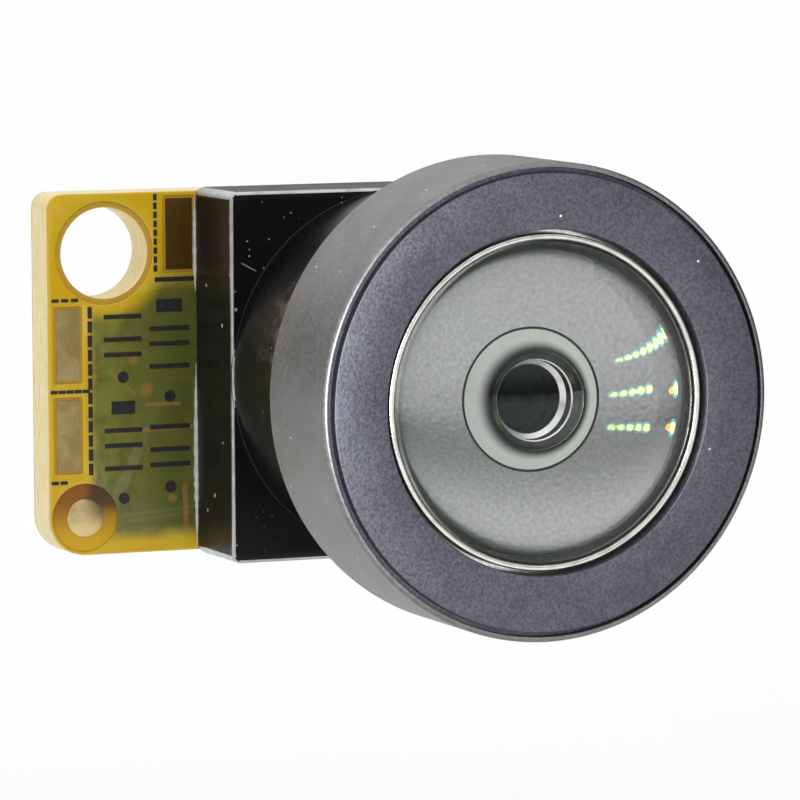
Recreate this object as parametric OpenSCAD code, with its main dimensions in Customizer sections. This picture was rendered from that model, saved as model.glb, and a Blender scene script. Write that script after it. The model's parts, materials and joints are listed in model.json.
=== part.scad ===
// Wide-angle camera module: a domed lens in a turned barrel, screwed into a
// square lens holder that stands on a small circuit board with one screw ear.
// Millimetres. The lens looks along -Y, +Z is up. The origin is on the lens
// axis, at the rear end of the straight wall of the barrel's head.

/* [Lens head] */
// Outer diameter of the barrel's head
head_d = 12; // [11.6:0.1:13]
// Length of the head, from its front lip to its rear rim
head_len = 3.75; // [3.7:0.05:4.2]
// Wall of the front lip, around the trim ring
lip_wall = 0.14; // [0.12:0.01:0.2]
// Bevel on the outer edge of the front lip
lip_bevel = 0.08; // [0.04:0.01:0.1]
// Bevel on the outer edge of the rear rim
rim_bevel = 0.1; // [0.05:0.01:0.3]

/* [Trim ring] */
// How far the trim ring stands in front of the lip
ring_proud = 0.1; // [0.02:0.01:0.2]
// Thickness of the trim ring's flange
ring_flange_t = 0.45; // [0.35:0.05:0.6]
// Length of the threaded skirt behind the flange
ring_skirt_len = 0.6; // [0.4:0.05:0.7]
// Width of the skirt's thread wall, inside the lip
ring_thread_wall = 0.39; // [0.3:0.01:0.45]
// Opening of the trim ring
ring_open_d = 8.64; // [8.5:0.02:8.9]
// Width of the groove between the ring and the lip
ring_groove_w = 0.11; // [0.06:0.01:0.15]
// Depth of that groove
ring_groove_depth = 0.3; // [0.15:0.05:0.3]

/* [Glass bezel] */
// How far the bezel's front edge lies behind the face of the trim ring
bezel_drop = 0.18; // [0.1:0.01:0.25]
// Gap around the bezel's collar, inside the trim ring
bezel_gap = 0.1; // [0.05:0.01:0.15]
// Wall of the bezel's collar
bezel_wall = 0.16; // [0.12:0.01:0.2]
// Thickness of the bezel's clamping flange
bezel_flange_t = 0.25; // [0.2:0.01:0.35]

/* [Front glass] */
// Height of the dome in front of the bezel
dome_h = 1.9; // [1.4:0.1:2.2]
// How far the foot of the dome lies behind the bezel's front edge
dome_foot_drop = 0.06; // [0.02:0.01:0.1]
// Diameter of the glass flange
glass_d = 9.7; // [9.5:0.1:9.9]
// Thickness of the glass flange
glass_flange_t = 0.85; // [0.7:0.05:0.9]
// Diameter of the hollow in the back of the glass
hollow_d = 2.02; // [1.98:0.02:2.1]
// Depth of that hollow
hollow_depth = 0.2; // [0.15:0.05:0.3]
// Width of the ground bevel around the hollow
hollow_bevel_w = 0.35; // [0.25:0.05:0.5]
// Depth of that bevel
hollow_bevel_depth = 0.45; // [0.42:0.01:0.55]
// Thickness of the sealing gasket under the flange
gasket_t = 0.15; // [0.1:0.01:0.2]
// Width of the gasket
gasket_w = 0.95; // [0.7:0.05:1.1]

/* [Lens stem and cells] */
// Outer diameter of the threaded stem
stem_d = 7.9; // [7.7:0.1:8]
// Length of the stem behind the head
stem_len = 5.6; // [5.45:0.05:5.7]
// Bore for the front lens cell
front_cell_d = 6.6; // [6.4:0.1:6.8]
// Depth of the front cell behind the head's rear rim
front_cell_end = 0.9; // [0.8:0.05:1.1]
// Thickness of the web between the two cells
web_t = 0.3; // [0.2:0.05:0.4]
// Opening in that web
web_open_d = 3.8; // [3.6:0.1:4]
// Bore for the rear lens cell
rear_cell_d = 5.4; // [5.2:0.1:5.6]
// Radial clearance of every lens, spacer and thread in its bore
bore_clearance = 0.02; // [0.01:0.01:0.03]

/* [Inner lenses] */
// Thickness of the front spacer
front_spacer_t = 0.5; // [0.45:0.05:0.6]
// Opening of the spacer's collar, which shows through the dome
collar_open_d = 1.64; // [1.6:0.02:1.7]
// Wall of the collar
collar_wall = 0.12; // [0.1:0.01:0.14]
// How far the collar reaches into the hollow of the front glass
collar_reach = 0.42; // [0.35:0.01:0.44]
// Depth of the collar's wide mouth
collar_mouth = 0.16; // [0.1:0.02:0.2]
// Width and depth of the bright step behind the mouth
collar_step = 0.085; // [0.06:0.005:0.1]
// Thickness of the second lens at its edge
second_lens_t = 0.8; // [0.7:0.05:0.9]
// Thickness of the second spacer
second_spacer_t = 0.4; // [0.35:0.05:0.45]
// Thickness of the third lens at its edge
third_lens_t = 0.7; // [0.6:0.05:0.8]
// Opening of the aperture stop
stop_open_d = 1.5; // [1:0.1:2]
// Thickness of the aperture stop
stop_t = 0.1; // [0.08:0.01:0.15]
// Thickness of the fourth lens at its edge
fourth_lens_t = 0.9; // [0.8:0.05:1]
// Thickness of the fifth lens at its edge
fifth_lens_t = 0.9; // [0.8:0.05:1]
// Thickness of the rear spacer
rear_spacer_t = 0.5; // [0.4:0.05:0.6]
// Thickness of the sixth lens at its edge
sixth_lens_t = 0.9; // [0.8:0.05:1]
// Thickness of the ring that locks the rear cell
rear_ring_t = 0.6; // [0.4:0.05:0.65]
// Width of the cement layer between the fourth and fifth lens
cement_t = 0.01; // [0.01:0.005:0.02]

/* [Lens holder] */
// Side of the square base
holder_side = 9.7; // [9.4:0.1:10]
// Thickness of the base, in front of the board
holder_base_t = 2.66; // [2.5:0.02:2.9]
// Gap between the head's rear rim and the front of the round tower
focus_gap = 0.9; // [0.6:0.1:1.4]
// Height of the tower in front of the base
tower_len = 4.77; // [4.5:0.01:5]
// How far the tower's wall is set in from the sides of the base
tower_inset = 0.05; // [0:0.01:0.2]
// Rounding of the base's four long edges
holder_corner_r = 0.25; // [0.1:0.05:0.4]
// Bevel around the front edges of the base and the tower
holder_bevel = 0.08; // [0.04:0.01:0.15]
// Space between the end of the stem and the filter ledge
stem_end_gap = 0.35; // [0.2:0.05:0.5]
// Thickness of the filter ledge
ledge_t = 0.4; // [0.3:0.05:0.5]
// Side of the square window in the ledge
window_side = 4.8; // [4.4:0.1:5]
// Wall around the sensor room
room_wall = 1; // [0.9:0.05:1.1]
// Diameter of the two locating pins
locating_pin_d = 0.6; // [0.5:0.05:0.7]
// Length of the locating pins
locating_pin_len = 1; // [0.6:0.1:1.1]
// Height of each locating pin above or below the lens axis
locating_pin_z = 2.8; // [2:0.1:3.2]

/* [Filter and sensor] */
// Side of the infrared filter
filter_side = 6.1; // [5.8:0.1:6.3]
// Thickness of the infrared filter
filter_t = 0.3; // [0.2:0.05:0.35]
// Clearance around the filter in its recess
filter_clearance = 0.05; // [0.03:0.01:0.1]
// Side of the image sensor's body
sensor_side = 6.4; // [6:0.1:6.8]
// Thickness of the image sensor's body
sensor_t = 0.5; // [0.4:0.05:0.6]
// Margin of the sensor body around its cover glass
cover_margin = 0.2; // [0.1:0.05:0.4]
// Thickness of the sensor's cover glass
cover_t = 0.4; // [0.3:0.05:0.45]

/* [Circuit board] */
// Height of the board
board_h = 9.5; // [9.3:0.1:9.8]
// Thickness of the board
board_t = 1.3; // [1.2:0.05:1.6]
// Reach of the board from the lens axis to the end of the screw ear
ear_reach = 8.96; // [8.8:0.02:9.4]
// Reach of the board on the other side of the lens axis
far_reach = 5.05; // [5:0.05:5.4]
// Rounding of the board's corners
board_corner_r = 0.4; // [0.2:0.05:0.6]
// Rounding of the lower corner of the ear
ear_corner_r = 0.98; // [0.8:0.02:1.1]
// Depth of the solder resist, seen in its openings
resist_t = 0.05; // [0.03:0.01:0.06]

/* [Screw hole] */
// Diameter of the screw hole
screw_hole_d = 2.4; // [2.2:0.1:2.6]
// Distance of the screw hole from the end of the ear
screw_hole_in = 1.58; // [1.54:0.02:1.8]
// Distance of the screw hole from the top of the board
screw_hole_down = 1.57; // [1.55:0.02:1.8]
// Width of the bare ring around the screw hole
hole_ring_w = 0.15; // [0.1:0.01:0.2]

/* [Gold pads] */
// Length of a pad, upwards
pad_len = 1.88; // [1.6:0.02:2]
// Width of a pad
pad_w = 0.64; // [0.5:0.02:0.68]
// Distance between the two edge pads, centre to centre
pad_pitch = 2.38; // [2.3:0.02:2.5]
// Height of the upper edge pad's centre above the lens axis
pad_top_z = 0.79; // [0.6:0.01:0.9]
// Distance of the edge pads' centres from the end of the ear
pad_in = 0.55; // [0.5:0.01:0.7]
// Width of the pad beside the holder
side_pad_w = 0.74; // [0.6:0.02:0.78]
// Distance of that pad from the holder's side
side_pad_gap = 0.08; // [0.07:0.01:0.12]
// Height of that pad's centre above the lens axis
side_pad_z = 3.63; // [3.5:0.01:3.65]
// Margin of the resist opening around a pad
pad_margin = 0.07; // [0.04:0.01:0.09]
// Thickness of the gold pads
pad_t = 0.035; // [0.02:0.005:0.05]
// Diameter of the round alignment mark
mark_d = 1; // [0.8:0.05:1.1]
// Diameter of the resist opening around the mark
mark_open_d = 1.88; // [1.7:0.02:1.9]

/* [Rear connector] */
// Length of the connector housing
conn_len = 8.4; // [8:0.1:8.8]
// Width of the connector housing
conn_w = 2.6; // [2.4:0.1:2.8]
// Height of the connector housing
conn_h = 1; // [0.8:0.05:1.2]
// Wall of the connector housing
conn_wall = 0.4; // [0.3:0.05:0.45]
// Floor of the connector housing
conn_floor = 0.25; // [0.2:0.05:0.3]
// Width of the island inside the housing
conn_island_w = 0.6; // [0.5:0.05:0.7]
// Distance between two contacts of a row
contact_pitch = 0.5; // [0.48:0.01:0.54]
// Number of contacts in a row
contacts_per_row = 13; // [8:1:14]
// Width of a contact
contact_w = 0.2; // [0.15:0.01:0.22]
// Thickness of the contact metal
contact_t = 0.1; // [0.08:0.01:0.12]
// How far a contact's foot reaches out of the housing
contact_foot = 0.35; // [0.25:0.05:0.45]
// Centre of the connector, sideways from the lens axis
conn_x = -0.7; // [-0.9:0.1:-0.6]
// Centre of the connector, below the lens axis
conn_drop = 2.75; // [2.6:0.05:2.8]

/* [Rear components] */
// Length of a chip capacitor
chip_len = 1; // [0.9:0.05:1.1]
// Width and height of a chip capacitor
chip_w = 0.5; // [0.45:0.05:0.6]
// Length of the metal cap on each end of a chip capacitor
chip_cap_len = 0.25; // [0.2:0.05:0.3]
// Number of chip capacitors in the row
chip_count = 8; // [4:1:8]
// Distance between two chip capacitors
chip_pitch = 1.1; // [0.9:0.05:1.1]
// Height of the row of capacitors above the lens axis
chip_row_z = -0.2; // [-0.25:0.05:0]
// Side of the square regulator package
regulator_side = 2.6; // [2.4:0.1:2.8]
// Height of the regulator package
regulator_h = 0.75; // [0.6:0.05:0.9]
// Number of solder lands on each side of the regulator
regulator_lands = 4; // [3:1:5]
// Length of the oscillator can
oscillator_len = 2.5; // [2.3:0.1:2.7]
// Width of the oscillator can
oscillator_w = 2; // [1.8:0.1:2.2]
// Height of the oscillator can, with its base
oscillator_h = 0.8; // [0.6:0.05:0.9]
// Height of the oscillator's ceramic base
oscillator_base_h = 0.24; // [0.2:0.02:0.3]
// Height of these two parts' centres above the lens axis
package_row_z = 2.5; // [2.4:0.05:2.8]
// Centre of the regulator, sideways from the lens axis
regulator_x = -2.5; // [-2.6:0.1:-2.3]
// Centre of the oscillator, sideways from the lens axis
oscillator_x = 2.3; // [2.1:0.1:2.5]

/* [Hidden] */
$fn = 128;
eps = 0.5;

// Radii of the head, from the outside to the glass
head_r = head_d / 2;
lip_r = head_r - lip_wall;
ring_r = lip_r - bore_clearance;
thread_r = lip_r - ring_thread_wall;
skirt_r = thread_r - bore_clearance;
ring_open_r = ring_open_d / 2;
bezel_r = ring_open_r - bezel_gap;
bezel_open_r = bezel_r - bezel_wall;
glass_r = glass_d / 2;
glass_bore_r = glass_r + bore_clearance;
skirt_wall = 0.23;
skirt_overlap = 0.05;
thread_runout = 0.05;
bezel_flange_r = skirt_r - skirt_wall - bore_clearance;
dome_foot_r = bezel_open_r - bore_clearance;

// Places along the lens axis, from the front to the back
rim_y = rim_bevel;
lip_y = rim_y - head_len;
ring_y = lip_y - ring_proud;
ring_seat_y = ring_y + ring_flange_t;
skirt_end_y = ring_seat_y + ring_skirt_len;
bezel_y = ring_y + bezel_drop;
bezel_flange_y = skirt_end_y - skirt_overlap - bezel_flange_t;
glass_flange_y = bezel_flange_y + bezel_flange_t;
glass_back_y = glass_flange_y + glass_flange_t;
gasket_seat_y = glass_back_y + gasket_t;
thread_end_y = skirt_end_y + thread_runout;
dome_foot_y = bezel_y + dome_foot_drop;

// Front cell: the stack rests on the web and ends at the front glass
front_cell_r = front_cell_d / 2;
front_lens_r = front_cell_r - bore_clearance;
web_y = rim_y + front_cell_end;
second_lens_y = glass_back_y + front_spacer_t;
second_spacer_y = second_lens_y + second_lens_t;
third_lens_y = second_spacer_y + second_spacer_t;
stop_y = third_lens_y + third_lens_t;
third_spacer_y = stop_y + stop_t;

// Rear cell: the stack rests on the back of the web
rear_cell_r = rear_cell_d / 2;
rear_lens_r = rear_cell_r - bore_clearance;
fourth_lens_y = web_y + web_t;
fifth_lens_y = fourth_lens_y + fourth_lens_t;
rear_spacer_y = fifth_lens_y + fifth_lens_t;
sixth_lens_y = rear_spacer_y + rear_spacer_t;
rear_ring_y = sixth_lens_y + sixth_lens_t;

// Hollow of the front glass, and the spacer's collar in it
hollow_r = hollow_d / 2;
hollow_y = glass_back_y - hollow_bevel_depth;
hollow_slope = hollow_bevel_w / hollow_bevel_depth;
collar_y = glass_back_y - collar_reach;
collar_open_r = collar_open_d / 2;
collar_narrow_r = collar_open_r - collar_step;
collar_step_y = collar_y + collar_mouth;
nose_r = collar_narrow_r - bore_clearance;

// Heights of the lens surfaces, and the radii of their rims
lens_rim_margin = 0.3;
second_lens_bulge = 0.1;
second_lens_dish_r = 0.9;
second_lens_dish = 0.7;
third_lens_rim_r = 1.6;
third_lens_bulge = 0.25;
third_lens_dish_r = 1.2;
third_lens_dish = 0.15;
fourth_lens_rim_r = web_open_d / 2 - lens_rim_margin;
fourth_lens_bulge = 0.22;
cement_rim_r = 2.3;
cement_bulge = 0.4;
fifth_lens_dish_r = 1.7;
fifth_lens_dish = 0.2;
nose_y = collar_step_y + collar_step + second_lens_bulge + bore_clearance;
rear_ring_wall = 0.65;
rear_rim_margin = 0.1;
rear_opening_r = rear_lens_r - rear_ring_wall;
sixth_lens_rim_r = rear_opening_r - rear_rim_margin;
sixth_lens_bulge = 0.3;
sixth_lens_tail = 0.25;
spanner_slot_w = 0.5;
spanner_slot_depth = 0.3;

// Lens holder
tower_y = rim_y + focus_gap;
base_y = tower_y + tower_len;
board_y = base_y + holder_base_t;
board_back_y = board_y + board_t;
tower_r = holder_side / 2 - tower_inset;
holder_bore_r = stem_d / 2 + bore_clearance;
ledge_y = rim_y + stem_len + stem_end_gap;
filter_y = ledge_y + ledge_t;
filter_recess_side = filter_side + 2 * filter_clearance;
recess_spare = 0.15;
room_y = filter_y + filter_t + recess_spare;
room_side = holder_side - 2 * room_wall;
locating_pin_x = (holder_side - room_wall) / 2;
pin_clearance = 0.03;
locating_hole_d = locating_pin_d + 2 * pin_clearance;
sensor_y = board_y - sensor_t;
cover_side = sensor_side - 2 * cover_margin;
cover_y = sensor_y - cover_t;

// Circuit board
board_top = board_h / 2;
screw_hole_x = -ear_reach + screw_hole_in;
screw_hole_z = board_top - screw_hole_down;
pad_x = -ear_reach + pad_in;
side_pad_x = -holder_side / 2 - side_pad_gap - side_pad_w / 2;
mark_x = -ear_reach + ear_corner_r;
mark_z = -board_top + ear_corner_r;

// Rear connector and components
conn_z = -conn_drop;
oscillator_rim = 0.1;
land_w = 0.3;
land_t = 0.1;
land_out = 0.2;
contact_clearance = 0.02;
anchor_w = 0.5;
anchor_len = 0.8;

// Stands children on the lens axis, with their +Z turned to +Y, from depth y
module on_axis(y) {
  translate([0, y, 0]) rotate([-90, 0, 0]) children();
}

// Disc or tube around the lens axis, from depth y backwards
module tube(y, outer_r, inner_r, length) {
  on_axis(y) difference() {
    cylinder(r = outer_r, h = length);
    if (inner_r > 0) translate([0, 0, -eps]) cylinder(r = inner_r, h = length + 2 * eps);
  }
}

// Block centred at x and z, from depth y backwards
module block(x, y, z, width, length, height) {
  translate([x - width / 2, y, z - height / 2]) cube([width, length, height]);
}

// Radius of the sphere whose cap has this rim and height
function cap_radius(rim, h) = (rim * rim + h * h) / (2 * h);

// Spherical cap whose flat side is at depth y; it bulges forwards by h
module cap_forward(y, rim, h) {
  sphere_r = cap_radius(rim, h);
  on_axis(y) intersection() {
    translate([0, 0, sphere_r - h]) sphere(r = sphere_r);
    translate([0, 0, -h - eps]) cylinder(r = rim + eps, h = h + eps);
  }
}

// Spherical cap whose flat side is at depth y; it bulges backwards by h
module cap_backward(y, rim, h) {
  translate([0, 2 * y, 0]) mirror([0, 1, 0]) cap_forward(y, rim, h);
}

// Sphere that hollows a face at depth y, to depth h, towards the front or the back
module dish(y, rim, h, side) {
  sphere_r = cap_radius(rim, h);
  translate([0, y + side * (h - sphere_r), 0]) sphere(r = sphere_r);
}

module lens_barrel() {
  color("dimgray") difference() {
    union() {
      on_axis(lip_y) cylinder(r1 = head_r - lip_bevel, r2 = head_r, h = lip_bevel);
      tube(lip_y + lip_bevel, head_r, 0, head_len - lip_bevel - rim_bevel);
      on_axis(0) cylinder(r1 = head_r, r2 = head_r - rim_bevel, h = rim_bevel);
      tube(0, stem_d / 2, 0, rim_y + stem_len);
    }
    tube(lip_y - eps, lip_r, 0, ring_seat_y - lip_y + eps);
    tube(ring_seat_y - eps, thread_r, 0, thread_end_y - ring_seat_y + eps);
    tube(thread_end_y - eps, glass_bore_r, 0, gasket_seat_y - thread_end_y + eps);
    tube(gasket_seat_y - eps, front_cell_r, 0, web_y - gasket_seat_y + eps);
    tube(web_y - eps, web_open_d / 2, 0, web_t + 2 * eps);
    tube(web_y + web_t, rear_cell_r, 0, stem_len);
  }
}

module trim_ring() {
  color([0.36, 0.36, 0.42]) difference() {
    union() {
      tube(ring_y, ring_r - ring_groove_w, 0, ring_flange_t);
      tube(ring_y + ring_groove_depth, ring_r, 0, ring_flange_t - ring_groove_depth);
      tube(ring_seat_y, skirt_r, 0, ring_skirt_len);
    }
    tube(ring_y - eps, ring_open_r, 0, ring_flange_t + ring_skirt_len + 2 * eps);
    tube(bezel_flange_y, skirt_r - skirt_wall, 0, head_len);
  }
}

module glass_bezel() {
  color("silver") difference() {
    union() {
      tube(bezel_y, bezel_r, 0, bezel_flange_y - bezel_y + bezel_flange_t);
      tube(bezel_flange_y, bezel_flange_r, 0, bezel_flange_t);
    }
    tube(bezel_y - eps, bezel_open_r, 0, head_len);
  }
}

module front_glass() {
  color([0.62, 0.65, 0.68]) difference() {
    union() {
      cap_forward(dome_foot_y, dome_foot_r, dome_h);
      tube(dome_foot_y, dome_foot_r, 0, glass_flange_y - dome_foot_y);
      tube(glass_flange_y, glass_r, 0, glass_flange_t);
    }
    cap_forward(hollow_y, hollow_r, hollow_depth);
    on_axis(hollow_y) cylinder(r1 = hollow_r,
      r2 = hollow_r + hollow_slope * (hollow_bevel_depth + eps), h = hollow_bevel_depth + eps);
  }
}

module front_gasket() {
  color("black") tube(glass_back_y, glass_r, glass_r - gasket_w, gasket_t);
}

module front_spacer() {
  color([0.15, 0.15, 0.16]) difference() {
    union() {
      tube(glass_back_y, front_lens_r, 0, front_spacer_t);
      tube(collar_y, collar_open_r + collar_wall, 0, collar_reach + front_spacer_t);
    }
    tube(collar_y - eps, collar_open_r, 0, collar_mouth + eps);
    on_axis(collar_step_y) cylinder(r1 = collar_open_r, r2 = collar_narrow_r, h = collar_step);
    tube(collar_step_y, collar_narrow_r, 0, collar_reach + front_spacer_t);
  }
}

module second_lens() {
  color([0.55, 0.65, 0.7]) difference() {
    union() {
      cap_forward(nose_y, nose_r, second_lens_bulge);
      tube(nose_y, nose_r, 0, second_lens_y + second_lens_t - nose_y);
      tube(second_lens_y, front_lens_r, 0, second_lens_t);
    }
    dish(second_spacer_y, second_lens_dish_r, second_lens_dish, -1);
  }
}

module second_spacer() {
  color([0.15, 0.15, 0.16])
    tube(second_spacer_y, front_lens_r, third_lens_rim_r + lens_rim_margin, second_spacer_t);
}

module third_lens() {
  color([0.5, 0.62, 0.66]) difference() {
    union() {
      cap_forward(third_lens_y, third_lens_rim_r, third_lens_bulge);
      tube(third_lens_y, front_lens_r, 0, third_lens_t);
    }
    dish(stop_y, third_lens_dish_r, third_lens_dish, -1);
  }
}

module aperture_stop() {
  color([0.08, 0.08, 0.08]) tube(stop_y, front_lens_r, stop_open_d / 2, stop_t);
}

module third_spacer() {
  color([0.15, 0.15, 0.16])
    tube(third_spacer_y, front_lens_r, web_open_d / 2, web_y - third_spacer_y);
}

module fourth_lens() {
  color([0.5, 0.62, 0.66]) union() {
    cap_forward(fourth_lens_y, fourth_lens_rim_r, fourth_lens_bulge);
    tube(fourth_lens_y, rear_lens_r, 0, fourth_lens_t);
    cap_backward(fifth_lens_y, cement_rim_r, cement_bulge);
  }
}

module fifth_lens() {
  color([0.45, 0.58, 0.64]) difference() {
    tube(fifth_lens_y, rear_lens_r, 0, fifth_lens_t);
    translate([0, cement_t, 0]) dish(fifth_lens_y, cement_rim_r, cement_bulge, 1);
    dish(rear_spacer_y, fifth_lens_dish_r, fifth_lens_dish, -1);
  }
}

module rear_spacer() {
  color([0.15, 0.15, 0.16]) tube(rear_spacer_y, rear_lens_r, rear_opening_r, rear_spacer_t);
}

module sixth_lens() {
  color([0.5, 0.62, 0.66]) union() {
    cap_forward(sixth_lens_y, sixth_lens_rim_r, sixth_lens_bulge);
    tube(sixth_lens_y, rear_lens_r, 0, sixth_lens_t);
    cap_backward(rear_ring_y, sixth_lens_rim_r, sixth_lens_tail);
  }
}

module rear_lock_ring() {
  color([0.12, 0.12, 0.13]) difference() {
    tube(rear_ring_y, rear_lens_r, rear_opening_r, rear_ring_t);
    block(0, rear_ring_y + rear_ring_t - spanner_slot_depth, 0,
      rear_cell_d + 2 * eps, spanner_slot_depth + eps, spanner_slot_w);
  }
}

// Square outline with rounded corners, centred on the lens axis
module rounded_square(side, r) {
  inner = side / 2 - r;
  union() {
    square([side, 2 * inner], center = true);
    square([2 * inner, side], center = true);
    for (sx = [-1, 1], sz = [-1, 1]) translate([sx * inner, sz * inner]) circle(r = r, $fn = 48);
  }
}

// Bar from depth y backwards, with a bevel on its left and right front edges
module bevelled_bar(y, side, length, bevel) {
  half = side / 2;
  linear_extrude(side + 2 * eps, center = true) polygon([
    [-half, y + bevel], [bevel - half, y], [half - bevel, y], [half, y + bevel],
    [half, y + length], [-half, y + length]
  ]);
}

module lens_holder() {
  color([0.07, 0.07, 0.075]) difference() {
    union() {
      intersection() {
        on_axis(base_y) linear_extrude(holder_base_t)
          rounded_square(holder_side, holder_corner_r);
        bevelled_bar(base_y, holder_side, holder_base_t, holder_bevel);
        rotate([0, 90, 0]) bevelled_bar(base_y, holder_side, holder_base_t, holder_bevel);
      }
      tube(tower_y + holder_bevel, tower_r, 0, tower_len);
      on_axis(tower_y) cylinder(r1 = tower_r - holder_bevel, r2 = tower_r, h = holder_bevel);
      for (side = [-1, 1])
        translate([side * locating_pin_x, 0, -side * locating_pin_z])
          tube(board_y - eps, locating_pin_d / 2, 0, locating_pin_len + eps);
    }
    tube(tower_y - eps, holder_bore_r, 0, ledge_y - tower_y + eps);
    block(0, ledge_y - eps, 0, window_side, ledge_t + 2 * eps, window_side);
    block(0, filter_y, 0, filter_recess_side, board_y - filter_y + eps, filter_recess_side);
    block(0, room_y, 0, room_side, board_y - room_y + eps, room_side);
  }
}

module infrared_filter() {
  color([0.55, 0.75, 0.78]) block(0, filter_y, 0, filter_side, filter_t, filter_side);
}

module sensor_body() {
  color([0.13, 0.16, 0.14]) block(0, sensor_y, 0, sensor_side, sensor_t, sensor_side);
}

module sensor_cover() {
  color([0.35, 0.45, 0.5]) block(0, cover_y, 0, cover_side, cover_t, cover_side);
}

// Outline of the board, seen from the front with the ear on the left
module board_outline() {
  small = board_corner_r;
  big = ear_corner_r;
  difference() {
    translate([-ear_reach, -board_top]) square([ear_reach + far_reach, board_h]);
    corner_cut(-ear_reach, board_top, 1, -1, small);
    corner_cut(-ear_reach, -board_top, 1, 1, big);
    corner_cut(far_reach, board_top, -1, -1, small);
    corner_cut(far_reach, -board_top, -1, 1, small);
  }
}

// What a rounded corner takes away; the directions point into the board
module corner_cut(x, z, dir_x, dir_z, r) {
  difference() {
    translate([x - (dir_x > 0 ? eps : r), z - (dir_z > 0 ? eps : r)]) square(r + eps);
    translate([x + dir_x * r, z + dir_z * r]) circle(r = r, $fn = 64);
  }
}

// Extrudes an outline drawn in X and Z backwards from depth y
module upright(y, length) {
  translate([0, y + length, 0]) rotate([90, 0, 0]) linear_extrude(length) children();
}

module circuit_board() {
  hole_ring_r = screw_hole_d / 2 + hole_ring_w;
  color([0.88, 0.7, 0.08]) difference() {
    upright(board_y, board_t) board_outline();
    translate([screw_hole_x, 0, screw_hole_z]) {
      tube(board_y - eps, screw_hole_d / 2, 0, board_t + 2 * eps);
      tube(board_y - eps, hole_ring_r, 0, eps + resist_t);
    }
    for (side = [-1, 1])
      translate([side * locating_pin_x, 0, -side * locating_pin_z])
        tube(board_y - eps, locating_hole_d / 2, 0, board_t + 2 * eps);
    for (row = [0, 1])
      block(pad_x, board_y - eps, pad_top_z - row * pad_pitch,
        pad_w + 2 * pad_margin, eps + resist_t, pad_len + 2 * pad_margin);
    block(side_pad_x, board_y - eps, side_pad_z,
      side_pad_w + 2 * pad_margin, eps + resist_t, pad_len + 2 * pad_margin);
    translate([mark_x, 0, mark_z]) tube(board_y - eps, mark_open_d / 2, 0, eps + resist_t);
  }
}

module gold_pads() {
  pad_y = board_y + resist_t - pad_t;
  color("goldenrod") {
    for (row = [0, 1]) block(pad_x, pad_y, pad_top_z - row * pad_pitch, pad_w, pad_t, pad_len);
    block(side_pad_x, pad_y, side_pad_z, side_pad_w, pad_t, pad_len);
  }
}

module alignment_mark() {
  color("gold") translate([mark_x, 0, mark_z])
    tube(board_y + resist_t - pad_t, mark_d / 2, 0, pad_t);
}

module connector_housing() {
  inner_len = conn_len - 2 * conn_wall;
  inner_w = conn_w - 2 * conn_wall;
  slot_w = contact_w + 2 * contact_clearance;
  contact_slot = contact_t + contact_clearance;
  color([0.16, 0.15, 0.14]) difference() {
    block(conn_x, board_back_y, conn_z, conn_len, conn_h, conn_w);
    difference() {
      block(conn_x, board_back_y + conn_floor, conn_z, inner_len, conn_h, inner_w);
      block(conn_x, board_back_y, conn_z,
        inner_len - 2 * conn_wall, conn_h - conn_floor, conn_island_w);
    }
    for (side = [-1, 1], i = [0 : contacts_per_row - 1]) {
      block(contact_x(i), board_back_y - eps, conn_z + side * conn_w / 2,
        slot_w, eps + contact_t + contact_clearance, 2 * conn_wall);
      block(contact_x(i), board_back_y - eps, conn_z + side * (inner_w - contact_slot) / 2,
        slot_w, 2 * eps + conn_floor, contact_slot);
    }
  }
}

function contact_x(i) = conn_x + (i - (contacts_per_row - 1) / 2) * contact_pitch;

module connector_contacts() {
  outer = conn_w / 2 + contact_foot;
  inner = conn_w / 2 - conn_wall;
  color("gold")
    for (side = [-1, 1], i = [0 : contacts_per_row - 1]) {
      block(contact_x(i), board_back_y, conn_z + side * (outer + inner - contact_t) / 2,
        contact_w, contact_t, outer - inner + contact_t);
      block(contact_x(i), board_back_y, conn_z + side * (inner - contact_t / 2),
        contact_w, conn_h - conn_floor, contact_t);
    }
}

module connector_anchors() {
  color("silver")
    for (side = [-1, 1])
      block(conn_x + side * (conn_len + anchor_w) / 2, board_back_y, conn_z,
        anchor_w, contact_t, anchor_len);
}

function chip_x(i) = (i - (chip_count - 1) / 2) * chip_pitch;

module chip_bodies() {
  color([0.62, 0.5, 0.36])
    for (i = [0 : chip_count - 1])
      block(chip_x(i), board_back_y, chip_row_z, chip_w, chip_w, chip_len - 2 * chip_cap_len);
}

module chip_caps() {
  color("silver")
    for (i = [0 : chip_count - 1], side = [-1, 1])
      block(chip_x(i), board_back_y, chip_row_z + side * (chip_len - chip_cap_len) / 2,
        chip_w, chip_w, chip_cap_len);
}

module regulator() {
  color([0.1, 0.1, 0.1])
    block(regulator_x, board_back_y + land_t, package_row_z,
      regulator_side, regulator_h - land_t, regulator_side);
}

module regulator_lands_row() {
  step = regulator_side / regulator_lands;
  color("silver")
    for (side = [-1, 1], i = [0 : regulator_lands - 1])
      block(regulator_x + (i - (regulator_lands - 1) / 2) * step, board_back_y,
        package_row_z + side * (regulator_side / 2 - land_out / 2),
        land_w, land_t, 2 * land_out);
}

module oscillator_base() {
  color([0.75, 0.7, 0.6])
    block(oscillator_x, board_back_y, package_row_z,
      oscillator_len, oscillator_base_h, oscillator_w);
}

module oscillator_lid() {
  color("lightgray")
    block(oscillator_x, board_back_y + oscillator_base_h, package_row_z,
      oscillator_len - 2 * oscillator_rim, oscillator_h - oscillator_base_h,
      oscillator_w - 2 * oscillator_rim);
}

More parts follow.
